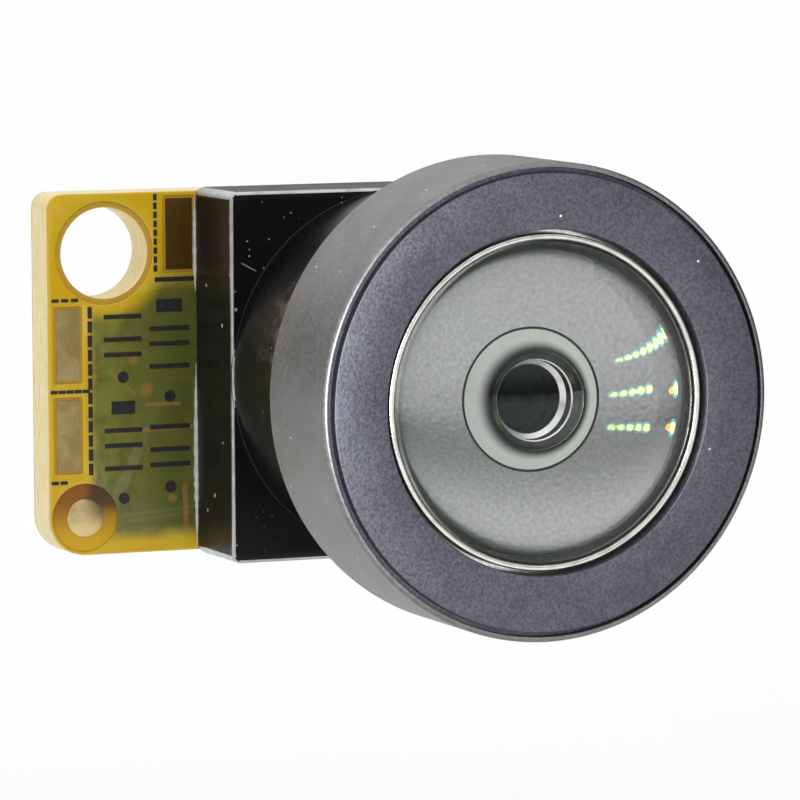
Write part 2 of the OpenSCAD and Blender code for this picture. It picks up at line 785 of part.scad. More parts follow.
lens_barrel();
trim_ring();
glass_bezel();
front_glass();
front_gasket();
front_spacer();
second_lens();
second_spacer();
third_lens();
aperture_stop();
third_spacer();
fourth_lens();
fifth_lens();
rear_spacer();
sixth_lens();
rear_lock_ring();
lens_holder();
infrared_filter();
sensor_body();
sensor_cover();
circuit_board();
gold_pads();
alignment_mark();
connector_housing();
connector_contacts();
connector_anchors();
chip_bodies();
chip_caps();
regulator();
regulator_lands_row();
oscillator_base();
oscillator_lid();
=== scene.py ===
import json
import math
import random
import bmesh
import bpy
from mathutils import Matrix, Vector


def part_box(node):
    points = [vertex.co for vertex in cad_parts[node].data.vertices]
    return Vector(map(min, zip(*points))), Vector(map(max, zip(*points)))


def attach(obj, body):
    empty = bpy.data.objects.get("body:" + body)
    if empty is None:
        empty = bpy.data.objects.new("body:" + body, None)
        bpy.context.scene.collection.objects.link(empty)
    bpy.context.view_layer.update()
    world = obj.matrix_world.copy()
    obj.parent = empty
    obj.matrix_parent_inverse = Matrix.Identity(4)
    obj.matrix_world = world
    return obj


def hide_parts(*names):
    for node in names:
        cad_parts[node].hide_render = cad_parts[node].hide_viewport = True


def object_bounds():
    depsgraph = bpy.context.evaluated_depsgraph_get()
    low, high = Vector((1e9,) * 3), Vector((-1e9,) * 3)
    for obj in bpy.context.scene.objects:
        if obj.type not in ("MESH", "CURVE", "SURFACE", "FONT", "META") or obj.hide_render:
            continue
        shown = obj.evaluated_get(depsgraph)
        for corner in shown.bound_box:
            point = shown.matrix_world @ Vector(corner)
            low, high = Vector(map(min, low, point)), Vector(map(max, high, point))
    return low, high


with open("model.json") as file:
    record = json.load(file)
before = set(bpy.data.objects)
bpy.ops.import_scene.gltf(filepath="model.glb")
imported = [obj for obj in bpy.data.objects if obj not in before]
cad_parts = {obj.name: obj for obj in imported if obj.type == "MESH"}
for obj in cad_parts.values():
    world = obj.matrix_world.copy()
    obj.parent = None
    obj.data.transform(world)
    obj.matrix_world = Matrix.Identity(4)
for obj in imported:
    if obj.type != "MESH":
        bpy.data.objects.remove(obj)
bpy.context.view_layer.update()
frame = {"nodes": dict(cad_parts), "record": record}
mm = 0.001  # the shapes below are worked out in millimetres and made metres at the end
fullTurn = 2 * math.pi


def sizeOf(node):
    # lowest and highest corner of a node, in millimetres
    low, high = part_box(node)
    return low / mm, high / mm


class Finish:
    # A material whose patterns are laid out in millimetres of the part's own frame
    def __init__(self, name):
        self.material = bpy.data.materials.new(name)
        self.material.use_nodes = True
        self.nodes = self.material.node_tree.nodes
        self.links = self.material.node_tree.links
        self.shader = self.nodes["Principled BSDF"]
        coordinates = self.nodes.new("ShaderNodeTexCoord")
        scaled = self.nodes.new("ShaderNodeMapping")
        scaled.inputs["Scale"].default_value = (1 / mm, 1 / mm, 1 / mm)
        self.links.new(coordinates.outputs["Object"], scaled.inputs["Vector"])
        self.place = scaled.outputs["Vector"]
        parts = self.nodes.new("ShaderNodeSeparateXYZ")
        self.links.new(self.place, parts.inputs["Vector"])
        self.x, self.y, self.z = parts.outputs

    def feed(self, socket, value):
        # links a pattern, or sets a plain number or colour
        if isinstance(value, bpy.types.NodeSocket):
            self.links.new(value, socket)
        elif hasattr(value, "__len__") and len(value) == 3 and socket.type == "RGBA":
            socket.default_value = (*value, 1.0)
        else:
            socket.default_value = value

    def surface(self, **settings):
        for name, value in settings.items():
            self.feed(self.shader.inputs[name.replace("_", " ")], value)
        return self

    def math(self, operation, *values):
        node = self.nodes.new("ShaderNodeMath")
        node.operation = operation
        for socket, value in zip(node.inputs, values):
            self.feed(socket, value)
        return node.outputs[0]

    def product(self, *values):
        total = values[0]
        for value in values[1:]:
            total = self.math("MULTIPLY", total, value)
        return total

    def most(self, *values):
        total = values[0]
        for value in values[1:]:
            total = self.math("MAXIMUM", total, value)
        return total

    def remap(self, value, low, high, start=0.0, end=1.0):
        node = self.nodes.new("ShaderNodeMapRange")
        node.interpolation_type = "SMOOTHSTEP"
        for socket, number in zip(node.inputs, (value, low, high, start, end)):
            self.feed(socket, number)
        return node.outputs[0]

    def moved(self, shift=(0, 0, 0), turn=(0, 0, 0), stretch=(1, 1, 1)):
        node = self.nodes.new("ShaderNodeMapping")
        self.links.new(self.place, node.inputs["Vector"])
        node.inputs["Location"].default_value = shift
        node.inputs["Rotation"].default_value = turn
        node.inputs["Scale"].default_value = stretch
        return node.outputs["Vector"]

    def noise(self, scale, detail=3.0, rough=0.55, stretch=(1, 1, 1), shift=(0, 0, 0)):
        node = self.nodes.new("ShaderNodeTexNoise")
        self.links.new(self.moved(shift=shift, stretch=stretch), node.inputs["Vector"])
        node.inputs["Scale"].default_value = scale
        node.inputs["Detail"].default_value = detail
        node.inputs["Roughness"].default_value = rough
        return node.outputs["Fac"]

    def specks(self, scale, share, size, shift=(0, 0, 0), stretch=(1, 1, 1)):
        # round specks in a share of the cells of a random pattern
        node = self.nodes.new("ShaderNodeTexVoronoi")
        self.links.new(self.moved(shift=shift, stretch=stretch), node.inputs["Vector"])
        node.inputs["Scale"].default_value = scale
        chance = self.nodes.new("ShaderNodeSeparateColor")
        self.links.new(node.outputs["Color"], chance.inputs["Color"])
        reach = self.math("MULTIPLY", chance.outputs[1], size)
        inside = self.math("SUBTRACT", reach, node.outputs["Distance"])
        dot = self.remap(inside, 0.0, size * 0.5)
        picked = self.math("LESS_THAN", chance.outputs[0], share)
        return self.math("MULTIPLY", dot, picked)

    def band(self, value, low, high, soft):
        rise = self.remap(value, low - soft, low + soft)
        fall = self.remap(value, high - soft, high + soft, 1.0, 0.0)
        return self.math("MULTIPLY", rise, fall)

    def away(self, x, z):
        # distance from a line along the lens axis through x and z
        across = self.math("SUBTRACT", self.x, x)
        up = self.math("SUBTRACT", self.z, z)
        squares = self.math("ADD", self.product(across, across), self.product(up, up))
        return self.math("SQRT", squares)

    def disc(self, x, z, radius, soft):
        return self.remap(self.away(x, z), radius - soft, radius + soft, 1.0, 0.0)

    def streak(self, x, z, length, width, angle):
        # thin line from a point, along a direction in the plane of the board
        cosine, sine = math.cos(math.radians(angle)), math.sin(math.radians(angle))
        across = self.math("SUBTRACT", self.x, x)
        up = self.math("SUBTRACT", self.z, z)
        along = self.math("ADD", self.product(across, cosine), self.product(up, sine))
        aside = self.math("SUBTRACT", self.product(up, cosine), self.product(across, sine))
        return self.product(
            self.band(along, 0.0, length, width), self.band(aside, -width, width, width / 2)
        )

    def blend(self, mask, first, second):
        node = self.nodes.new("ShaderNodeMix")
        node.data_type = "RGBA"
        self.feed(node.inputs[0], mask)
        self.feed(node.inputs[6], first)
        self.feed(node.inputs[7], second)
        return node.outputs[2]

    def bump(self, height, depth, strength=1.0):
        # depth is in millimetres
        node = self.nodes.new("ShaderNodeBump")
        node.inputs["Strength"].default_value = strength
        node.inputs["Distance"].default_value = depth * mm
        self.links.new(height, node.inputs["Height"])
        self.links.new(node.outputs["Normal"], self.shader.inputs["Normal"])
        return self


def anodisedFinish(name, colour, look):
    # fine mottled grain of a blasted and anodised turned part
    finish = Finish(name)
    grain = finish.noise(look["grain"], detail=4.0)
    clouds = finish.noise(0.9, detail=2.0)
    dust = finish.specks(3.2, look["dust"], 0.16)
    shade = finish.remap(grain, 0.3, 0.7, 1 - look["contrast"], 1 + look["contrast"])
    shade = finish.product(shade, finish.remap(clouds, 0.3, 0.7, 0.93, 1.07))
    scaled = finish.nodes.new("ShaderNodeVectorMath")
    scaled.operation = "SCALE"
    scaled.inputs[0].default_value = colour
    finish.feed(scaled.inputs["Scale"], shade)
    finish.surface(
        Base_Color=finish.blend(dust, scaled.outputs[0], (0.75, 0.74, 0.7)),
        Metallic=finish.remap(dust, 0.0, 1.0, look["metal"], 0.0),
        Roughness=finish.remap(grain, 0.2, 0.8, look["rough"] - 0.05, look["rough"] + 0.08),
    )
    finish.bump(grain, look["relief"])
    return finish.material


def metalFinish(name, colour, rough, grain=14.0, stretch=(1, 1, 1), relief=0.002):
    finish = Finish(name)
    marks = finish.noise(grain, stretch=stretch)
    tarnish = finish.noise(1.7, detail=4.0)
    darker = tuple(0.72 * part for part in colour)
    finish.surface(
        Base_Color=finish.blend(finish.remap(tarnish, 0.4, 0.75), colour, darker),
        Metallic=1.0,
        Roughness=finish.remap(marks, 0.25, 0.75, rough - 0.06, rough + 0.1),
    )
    finish.bump(marks, relief)
    return finish.material


def mouldedFinish(name, colour, rough, metal=0.0, grain=9.0):
    finish = Finish(name)
    texture = finish.noise(grain, detail=4.0)
    dust = finish.specks(4.5, 0.1, 0.14)
    paler = tuple(min(1.0, 1.35 * part + 0.01) for part in colour)
    body = finish.blend(finish.remap(texture, 0.35, 0.7), colour, paler)
    finish.surface(
        Base_Color=finish.blend(finish.product(dust, 0.6), body, (0.6, 0.58, 0.55)),
        Metallic=metal,
        Roughness=finish.remap(texture, 0.3, 0.7, rough - 0.05, rough + 0.08),
    )
    finish.bump(texture, 0.004)
    return finish.material


def glassFinish(name, tint, coating, index=1.53):
    # coating is the colour that the anti-reflection layer lets the surface keep of its shine
    finish = Finish(name)
    smear = finish.noise(1.1, detail=3.0)
    finish.surface(
        Base_Color=finish.blend(finish.remap(smear, 0.4, 0.8), tint, tuple(0.97 * c for c in tint)),
        Roughness=0.0, IOR=index, Transmission_Weight=1.0, Specular_Tint=coating,
    )
    return finish.material


def arc(centreRadius, centreY, radius, first, last, steps):
    # points of an arc in a turned outline, angles in degrees from the outward direction
    angles = [math.radians(first + (last - first) * i / steps) for i in range(steps + 1)]
    return [(centreRadius + radius * math.cos(a), centreY + radius * math.sin(a)) for a in angles]


def turned(bm, outline, steps=192, closed=True):
    # spins an outline of (radius, y) corners about the lens axis
    corners = [bm.verts.new((radius, y, 0)) for radius, y in outline]
    ends = corners[1:] + (corners[:1] if closed else [])
    edges = [bm.edges.new(pair) for pair in zip(corners, ends)]
    bmesh.ops.spin(
        bm, geom=corners + edges, cent=(0, 0, 0), axis=(0, 1, 0), dvec=(0, 0, 0),
        angle=fullTurn, steps=steps, use_merge=True, use_duplicate=False, use_normal_flip=False,
    )
    bmesh.ops.remove_doubles(bm, verts=bm.verts[:], dist=1e-4)
    bmesh.ops.recalc_face_normals(bm, faces=bm.faces[:])


def roundRims(bm, rims, width, segments=3):
    # bevels the round edges that lie at these (radius, y) places
    def lies(corner):
        radius = math.hypot(corner.co.x, corner.co.z)
        return any(abs(radius - r) < 2e-3 and abs(corner.co.y - y) < 2e-3 for r, y in rims)

    picked = [edge for edge in bm.edges if lies(edge.verts[0]) and lies(edge.verts[1])]
    bevelEdges(bm, picked, width, segments)


def bevelEdges(bm, edges, width, segments=3):
    bmesh.ops.bevel(
        bm, geom=edges, offset=width, segments=segments, profile=0.5,
        affect="EDGES", material=-1, clamp_overlap=True,
    )


def block(bm, low, high):
    # adds a box between two corners and returns its edges
    size = [b - a for a, b in zip(low, high)]
    middle = [(a + b) / 2 for a, b in zip(low, high)]
    place = Matrix.Translation(middle) @ Matrix.Diagonal((*size, 1))
    made = bmesh.ops.create_cube(bm, size=1.0, matrix=place)
    return list({edge for corner in made["verts"] for edge in corner.link_edges})


def circleLoop(radius, x=0.0, z=0.0, count=72):
    # rim of a hole as a function of how far its edge has receded
    def points(inset):
        return [
            (x + (radius + inset) * math.cos(fullTurn * i / count),
             z + (radius + inset) * math.sin(fullTurn * i / count))
            for i in range(count)
        ]
    return points


def boxLoop(left, right, bottom, top, radii, outward=1.0):
    # rectangle with rounded corners: bottom left, bottom right, top right, top left
    def points(inset):
        shift = inset * outward
        sides = (left + shift, right - shift, bottom + shift, top - shift)
        corners = [(sides[0], sides[2], 180), (sides[1], sides[2], 270),
                   (sides[1], sides[3], 0), (sides[0], sides[3], 90)]
        made = []
        for (x, z, start), radius in zip(corners, radii):
            r = max(radius - shift, 0.01)
            cx = x + (r if x == sides[0] else -r)
            cz = z + (r if z == sides[2] else -r)
            for i in range(9):
                a = math.radians(start + 90 * i / 8)
                made.append((cx + r * math.cos(a), cz + r * math.sin(a)))
        return made
    return points


def addRing(bm, points, y):
    corners = [bm.verts.new((x, y, z)) for x, z in points]
    return [bm.edges.new(pair) for pair in zip(corners, corners[1:] + corners[:1])]


def plate(bm, loops, front, back, edge, steps=3):
    # flat plate bounded by loops, the first its outline and the rest its holes, with rounded rims
    turns = [math.radians(90 * i / steps) for i in range(steps + 1)]
    rounding = [(edge * (1 - math.sin(a)), edge * (1 - math.cos(a))) for a in turns]
    fronts, backs = [], []
    for loop in loops:
        rings = [addRing(bm, loop(inset), front + depth) for inset, depth in rounding]
        rings += [addRing(bm, loop(inset), back - depth) for inset, depth in reversed(rounding)]
        for first, second in zip(rings, rings[1:]):
            bmesh.ops.bridge_loops(bm, edges=first + second)
        fronts += rings[0]
        backs += rings[-1]
    for rim in (fronts, backs):
        bmesh.ops.triangle_fill(bm, edges=rim, use_beauty=True, use_dissolve=False)
    bmesh.ops.recalc_face_normals(bm, faces=bm.faces[:])


def finishPiece(name, bm, materials, replaced=(), sharp=40):
    mesh = bpy.data.meshes.new(name)
    bmesh.ops.recalc_face_normals(bm, faces=bm.faces[:])
    bm.transform(Matrix.Scale(mm, 4))
    bm.to_mesh(mesh)
    bm.free()
    for material in materials:
        mesh.materials.append(material)
    mesh.shade_smooth()
    mesh.set_sharp_from_angle(angle=math.radians(sharp))
    piece = bpy.data.objects.new(name, mesh)
    bpy.context.scene.collection.objects.link(piece)
    weigh = piece.modifiers.new("flatFaces", "WEIGHTED_NORMAL")
    weigh.keep_sharp = True
    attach(piece, "root")
    if replaced:
        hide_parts(*replaced)
    return piece


def dressNode(node, material):
    part = frame["nodes"][node]
    part.data.materials.clear()
    part.data.materials.append(material)


mounts = {mount["name"]: mount for mount in frame["record"]["mounts"]}


headLook = {
    "lipWall": 0.14, "lipBevel": 0.08, "rimBevel": 0.1,  # front lip and rear rim
    "seatDepth": 0.35, "skirtDepth": 1.0, "threadRadius": 5.47,  # behind the lip
    "glassRadius": 4.87, "gasketSeat": 1.65, "cellRadius": 3.3,
    "stemRadius": 3.95, "webRadius": 1.9, "rearCellRadius": 2.7,
    "threadPitch": 0.35, "threadDepth": 0.16,
}
headColour = (0.22, 0.221, 0.225)
headGrain = {"grain": 9.0, "contrast": 0.14, "rough": 0.42, "metal": 1.0, "relief": 0.004, "dust": 0.16}


def makeBarrel():
    low, high = sizeOf("lens_barrel")
    look = headLook
    radius, lip, end = high.x, low.y, high.y
    rim = look["rimBevel"]
    web = sizeOf("third_spacer")[1].y
    outline = [(radius - look["lipBevel"], lip), (radius, lip + look["lipBevel"]), (radius, 0.0)]
    outline += [(radius - rim, rim)]
    outline += [(look["stemRadius"] - look["threadDepth"], rim)]
    turns = int((end - rim - look["threadPitch"]) / look["threadPitch"])
    for i in range(turns):  # crests and roots of the stem's thread
        root = rim + look["threadPitch"] * (i + 0.3)
        outline += [(look["stemRadius"] - look["threadDepth"], root)]
        outline += [(look["stemRadius"], root + look["threadPitch"] * 0.42)]
        outline += [(look["stemRadius"], root + look["threadPitch"] * 0.5)]
    outline += [(look["stemRadius"] - look["threadDepth"], end)]
    outline += [(look["rearCellRadius"], end), (look["rearCellRadius"], web + 0.3)]
    outline += [(look["webRadius"], web + 0.3), (look["webRadius"], web)]
    outline += [(look["cellRadius"], web), (look["cellRadius"], lip + look["gasketSeat"])]
    outline += [(look["glassRadius"], lip + look["gasketSeat"]), (look["glassRadius"], lip + look["skirtDepth"])]
    outline += [(look["threadRadius"], lip + look["skirtDepth"]), (look["threadRadius"], lip + look["seatDepth"])]
    outline += [(radius - look["lipWall"], lip + look["seatDepth"]), (radius - look["lipWall"], lip)]
    bm = bmesh.new()
    turned(bm, outline)
    roundRims(bm, [(radius, lip + look["lipBevel"]), (radius - look["lipBevel"], lip)], 0.03)
    roundRims(bm, [(radius, 0.0), (radius - rim, rim)], 0.03)
    roundRims(bm, [(radius - look["lipWall"], lip)], 0.02, 2)
    material = anodisedFinish("barrelAnodised", headColour, headGrain)
    return finishPiece("barrel", bm, [material], ["lens_barrel"])


ringLook = {"grooveWidth": 0.11, "grooveDepth": 0.3, "flange": 0.45, "skirtRadius": 5.45, "open": 4.32,
            "skirtBore": 5.22, "boreFrom": 0.75}
ringColour = (0.115, 0.117, 0.14)
ringGrain = {"grain": 13.0, "contrast": 0.24, "rough": 0.5, "metal": 1.0, "relief": 0.01, "dust": 0.05}


def makeTrimRing():
    low, high = sizeOf("trim_ring")
    look = ringLook
    face, end, radius = low.y, high.y, high.x
    narrow = radius - look["grooveWidth"]
    outline = [(look["open"], face), (narrow, face), (narrow, face + look["grooveDepth"])]
    outline += [(radius, face + look["grooveDepth"]), (radius, face + look["flange"])]
    outline += [(look["skirtRadius"], face + look["flange"]), (look["skirtRadius"], end)]
    outline += [(look["skirtBore"], end), (look["skirtBore"], face + look["boreFrom"])]
    outline += [(look["open"], face + look["boreFrom"])]
    bm = bmesh.new()
    turned(bm, outline)
    roundRims(bm, [(narrow, face), (look["open"], face)], 0.035)
    material = anodisedFinish("ringAnodised", ringColour, ringGrain)
    return finishPiece("trimRing", bm, [material], ["trim_ring"])


def makeBezel():
    low, high = sizeOf("glass_bezel")
    collar, bore = 4.22, 4.06
    flange = high.y - 0.25
    outline = [(bore, low.y), (collar, low.y), (collar, flange), (high.x, flange)]
    outline += [(high.x, high.y), (bore, high.y)]
    bm = bmesh.new()
    turned(bm, outline)
    roundRims(bm, [(bore, low.y), (collar, low.y)], 0.05)
    material = metalFinish("bezelTurned", (0.9, 0.87, 0.8), 0.16, grain=5.0, stretch=(1, 30, 1))
    return finishPiece("glassBezel", bm, [material], ["glass_bezel"])


glassLook = {
    "domeRadius": 4.04, "domeHeight": 1.9, "flange": 0.85, "footHeight": 0.75, "seatGap": 0.012,
    "hollowRadius": 1.01, "hollowDepth": 0.2, "bevelWidth": 0.35, "bevelDepth": 0.45,
    "rimWidth": 0.05, "steps": 40,
}


def capRadius(rim, height):
    return (rim * rim + height * height) / (2 * height)


def backCoatFinish():
    # silvery grey layer on the flat back of the glass, which gives the dome its veil
    finish = Finish("backCoat")
    grain = finish.noise(11.0, detail=4.0)
    finish.surface(
        Base_Color=finish.blend(finish.remap(grain, 0.3, 0.7), (0.37, 0.375, 0.38), (0.45, 0.455, 0.46)),
        Metallic=1.0, Roughness=0.24,
    )
    finish.bump(grain, 0.004)
    return finish.material


def bevelFinish():
    # ground bevel round the hollow, with painted shade darkening it towards the inner edge
    finish = Finish("groundBevel")
    inner = glassLook["hollowRadius"]
    shade = finish.remap(finish.away(0, 0), inner, inner + 0.2)
    grain = finish.remap(finish.noise(5.0), 0.3, 0.7, 0.96, 1.0)
    finish.surface(
        Base_Color=finish.blend(finish.product(shade, grain), (0.02, 0.022, 0.028), (0.9, 0.91, 0.9)),
        Roughness=0.5,
    )
    return finish.material


def makeFrontGlass():
    low, high = sizeOf("front_glass")
    look = glassLook
    back, shoulder = high.y - look["seatGap"], high.y - look["flange"] + look["seatGap"]
    ball = capRadius(look["domeRadius"], look["domeHeight"])
    slope = math.degrees(math.asin(look["domeRadius"] / ball))
    outline = arc(0, low.y + ball, ball, -90, slope - 90, look["steps"])
    outline += [(look["domeRadius"], shoulder), (high.x, shoulder), (high.x, back)]
    bevel = look["hollowRadius"] + look["bevelWidth"]
    hollowY = back - look["bevelDepth"]
    outline += [(bevel + look["rimWidth"], back), (bevel, back)]
    hollowBall = capRadius(look["hollowRadius"], look["hollowDepth"])
    slope = math.degrees(math.asin(look["hollowRadius"] / hollowBall))
    middle = hollowY - look["hollowDepth"] + hollowBall
    outline += arc(0, middle, hollowBall, slope - 90, -90, look["steps"] // 2)
    bm = bmesh.new()
    turned(bm, outline, steps=224, closed=False)
    for face in bm.faces:
        centre = face.calc_center_median()
        reach = math.hypot(centre.x, centre.z)
        if abs(centre.y - back) < 1e-3:  # the back is coated grey, with a black line round the bevel
            face.material_index = 1 if reach > bevel + look["rimWidth"] else 2
        elif reach > look["domeRadius"] - 0.02 and centre.y > shoulder - look["footHeight"] - 0.1:
            face.material_index = 2  # the sides are inked black
        elif look["hollowRadius"] < reach < bevel and centre.y > hollowY:
            face.material_index = 3
    clear = glassFinish("frontGlassClear", (0.99, 1.0, 0.995), (0.35, 0.4, 0.38))
    edge = mouldedFinish("edgeInk", (0.01, 0.01, 0.01), 0.6)
    materials = [clear, backCoatFinish(), edge, bevelFinish()]
    return finishPiece("frontGlass", bm, materials, ["front_glass"], 60)


spacerLook = {"mouth": 0.82, "wall": 0.12, "mouthDepth": 0.16, "step": 0.085, "rim": 0.02}


def makeFrontSpacer():
    low, high = sizeOf("front_spacer")
    look = spacerLook
    wide, step = look["mouth"], look["step"]
    narrow, seat = wide - step, sizeOf("front_glass")[1].y
    chamfer, back = low.y + look["mouthDepth"], high.y - glassLook["seatGap"]
    outline = [(wide, low.y + look["rim"]), (wide + look["rim"], low.y), (wide + look["wall"], low.y)]
    outline += [(wide + look["wall"], seat), (high.x, seat), (high.x, back), (narrow, back)]
    outline += [(narrow, chamfer + step), (wide, chamfer)]
    bm = bmesh.new()
    turned(bm, outline, steps=128)
    bm.normal_update()
    for face in bm.faces:  # painted glint: the chamfers at the rim of the mouth and the step behind it get a bright metal in place of their glints
        face.material_index = 1 if 0.5 < abs(face.normal.y) < 0.9 else 0
    black = Finish("spacerBlack")
    rust = black.remap(black.noise(3.0, detail=5.0), 0.48, 0.7)
    black.surface(
        Base_Color=black.blend(rust, (0.012, 0.012, 0.01), (0.08, 0.07, 0.012)),
        Metallic=0.6, Roughness=0.45,
    )
    # painted glint: bright metal on the two chamfers of the spacer
    glintMetal = metalFinish("spacerGlintMetal", (0.92, 0.92, 0.92), 0.3, grain=3.0)
    return finishPiece("frontSpacer", bm, [black.material, glintMetal], ["front_spacer"])


secondLensLook = {"nose": 0.715, "bulge": 0.1, "flange": 0.8, "dish": 0.9, "dishDepth": 0.7}


def makeSecondLens():
    low, high = sizeOf("second_lens")
    look = secondLensLook
    nose = look["nose"]
    ball = capRadius(nose, look["bulge"])
    slope = math.degrees(math.asin(nose / ball))
    outline = arc(0, low.y + ball, ball, -90, slope - 90, 16)
    shoulder = high.y - look["flange"] + glassLook["seatGap"]
    outline += [(nose, shoulder), (high.x, shoulder), (high.x, high.y)]
    ball = capRadius(look["dish"], look["dishDepth"])
    slope = math.degrees(math.asin(look["dish"] / ball))
    outline += arc(0, high.y - look["dishDepth"] + ball, ball, slope - 90, -90, 24)
    bm = bmesh.new()
    turned(bm, outline, steps=128, closed=False)
    for face in bm.faces:
        centre = face.calc_center_median()
        side = math.hypot(centre.x, centre.z) > nose - 0.01 or abs(centre.y - high.y) < 1e-3
        face.material_index = 1 if side else 0
    clear = glassFinish("innerGlass", (0.9, 0.96, 0.92), (0.04, 0.12, 0.08))
    ink = mouldedFinish("innerEdgeInk", (0.01, 0.01, 0.01), 0.6)
    return finishPiece("secondLens", bm, [clear, ink], ["second_lens"], 60)


def dressInside():
    black = metalFinish("insideBlack", (0.02, 0.02, 0.02), 0.5)
    rubber = mouldedFinish("gasketRubber", (0.02, 0.02, 0.02), 0.7)
    glass = glassFinish("innerGlassPlain", (0.9, 0.95, 0.92), (0.04, 0.08, 0.02))
    blue = glassFinish("filterGlass", (0.45, 0.75, 0.85), (0.2, 0.3, 0.3))
    ceramic = mouldedFinish("sensorCeramic", (0.03, 0.035, 0.03), 0.6)
    for node in ("second_spacer", "aperture_stop", "third_spacer", "rear_spacer", "rear_lock_ring"):
        dressNode(node, black)
    for node in ("third_lens", "fourth_lens", "fifth_lens", "sixth_lens"):
        dressNode(node, glass)
    dressNode("front_gasket", rubber)
    dressNode("infrared_filter", blue)
    dressNode("sensor_cover", blue)
    dressNode("sensor_body", ceramic)


holderLook = {
    "towerRadius": 4.8, "towerTop": 1.0, "baseFront": 5.77, "bevel": 0.08, "corner": 0.25,
    "bore": 3.97, "foot": 0.05,
    "window": 2.4, "ledge": 6.05, "filter": 6.45, "recess": 3.1, "room": 6.9, "roomHalf": 3.85,
}


def combined(target, tool, operation):
    # joins or cuts two rough solids and leaves the result in the first
    step = target.modifiers.new(operation, "BOOLEAN")
    step.operation = operation
    step.solver = "EXACT"
    step.object = tool
    view = bpy.context.evaluated_depsgraph_get()
    result = bpy.data.meshes.new_from_object(target.evaluated_get(view))
    target.modifiers.remove(step)
    target.data = result
    bpy.data.objects.remove(tool)
    return target


def roughSolid(bm):
    mesh = bpy.data.meshes.new("rough")
    bmesh.ops.recalc_face_normals(bm, faces=bm.faces[:])
    bm.to_mesh(mesh)
    bm.free()
    solid = bpy.data.objects.new("rough", mesh)
    bpy.context.scene.collection.objects.link(solid)
    return solid


def holderFinish():
    finish = Finish("holderGloss")
    low, high = sizeOf("lens_holder")
    fine = finish.noise(10.0, detail=4.0)
    broad = finish.noise(0.8, detail=3.0)
    smallDust = finish.specks(5.0, 0.35, 0.17)
    bigDust = finish.specks(1.6, 0.3, 0.13, shift=(3, 1, 2))
    where = finish.remap(finish.noise(0.55, detail=2.0, shift=(5, 2, 1)), 0.42, 0.62)
    topLeft = finish.product(
        finish.remap(finish.x, low.x + 3.4, low.x + 0.3), finish.remap(finish.z, 1.2, 4.2)
    )
    smallDust = finish.product(smallDust, finish.most(where, topLeft))
    dirt = finish.product(
        finish.remap(finish.noise(2.6, detail=5.0), 0.42, 0.68),
        finish.band(finish.z, 0.3, 2.6, 0.5),
        finish.band(finish.y, 0.9, 3.6, 0.9),
        finish.remap(finish.x, -3.4, -4.3),
    )
    scratch = finish.most(
        finish.streak(-4.55, 3.0, 0.45, 0.02, -28),
        finish.streak(-4.2, 1.9, 0.6, 0.015, 60),
    )
    dust = finish.most(smallDust, bigDust)
    body = finish.blend(finish.product(dirt, 0.75), (0.0045, 0.0045, 0.005), (0.16, 0.13, 0.11))
    body = finish.blend(finish.product(scratch, 0.6), body, (0.35, 0.35, 0.36))
    body = finish.blend(finish.product(dust, 0.8), body, (0.62, 0.61, 0.6))
    rough = finish.remap(broad, 0.35, 0.7, 0.3, 0.42)
    finish.surface(
        Base_Color=body, Specular_IOR_Level=0.22,
        Roughness=finish.math("MAXIMUM", rough, finish.product(dirt, 0.7)),
    )
    finish.bump(fine, 0.002)
    return finish.material


def makeHolder():
    low, high = sizeOf("lens_holder")
    look = holderLook
    half = high.x
    board = sizeOf("circuit_board")[0].y
    bm = bmesh.new()
    plate(bm, [boxLoop(-half, half, -half, half, [look["corner"]] * 4)],
          look["baseFront"], board, look["bevel"])
    base = roughSolid(bm)
    radius, top, front = look["towerRadius"], low.y, look["baseFront"]
    outline = [(0, top), (radius - look["bevel"], top)]
    outline += arc(radius - look["bevel"], top + look["bevel"], look["bevel"], -90, 0, 4)[1:]
    outline += [(radius + look["foot"] * (1 - math.cos(math.radians(a))),
                 front - look["foot"] * (1 - math.sin(math.radians(a)))) for a in (0, 25, 50, 70, 90)]
    outline += [(radius + look["foot"], front + 0.3), (0, front + 0.3)]
    bm = bmesh.new()
    turned(bm, outline, steps=160, closed=False)
    combined(base, roughSolid(bm), "UNION")
    bm = bmesh.new()
    turned(bm, [(0, top - 0.5), (look["bore"] + 0.15, top - 0.5), (look["bore"] + 0.15, top),
                (look["bore"], top + 0.12), (look["bore"], look["ledge"]), (0, look["ledge"])],
           steps=128, closed=False)
    combined(base, roughSolid(bm), "DIFFERENCE")
    for reach, first, last in ((look["window"], look["ledge"] - 0.2, look["filter"] + 0.1),
                               (look["recess"], look["filter"], board + 0.2),
                               (look["roomHalf"], look["room"], board + 0.3)):
        bm = bmesh.new()
        block(bm, (-reach, first, -reach), (reach, last, reach))
        combined(base, roughSolid(bm), "DIFFERENCE")
    for side in (-1, 1):
        bm = bmesh.new()
        turned(bm, [(0, board - 0.3), (0.3, board - 0.3), (0.3, high.y - 0.05), (0.25, high.y), (0, high.y)],
               steps=32, closed=False)
        bmesh.ops.translate(bm, vec=(side * 4.35, 0, -side * 2.8), verts=bm.verts[:])
        combined(base, roughSolid(bm), "UNION")
    bm = bmesh.new()
    bm.from_mesh(base.data)
    bpy.data.objects.remove(base)
    bm.normal_update()
    for face in bm.faces:  # painted highlight: the bevelled edges of the square base get a bright grey metal in place of the light they catch
        centre, normal = face.calc_center_median(), face.normal
        onSide = max(abs(centre.x), abs(centre.z)) > half - look["bevel"]
        face.material_index = 1 if onSide and max(map(abs, normal)) < 0.99 and centre.y < board - 0.1 else 0
    # painted highlight: bright grey metal on the square base's bevels, standing in for their edge highlights
    edgeHighlight = metalFinish("edgeHighlightGrey", (0.55, 0.55, 0.56), 0.3, grain=8.0, relief=0.004)
    return finishPiece("holder", bm, [holderFinish(), edgeHighlight], ["lens_holder"], 35)


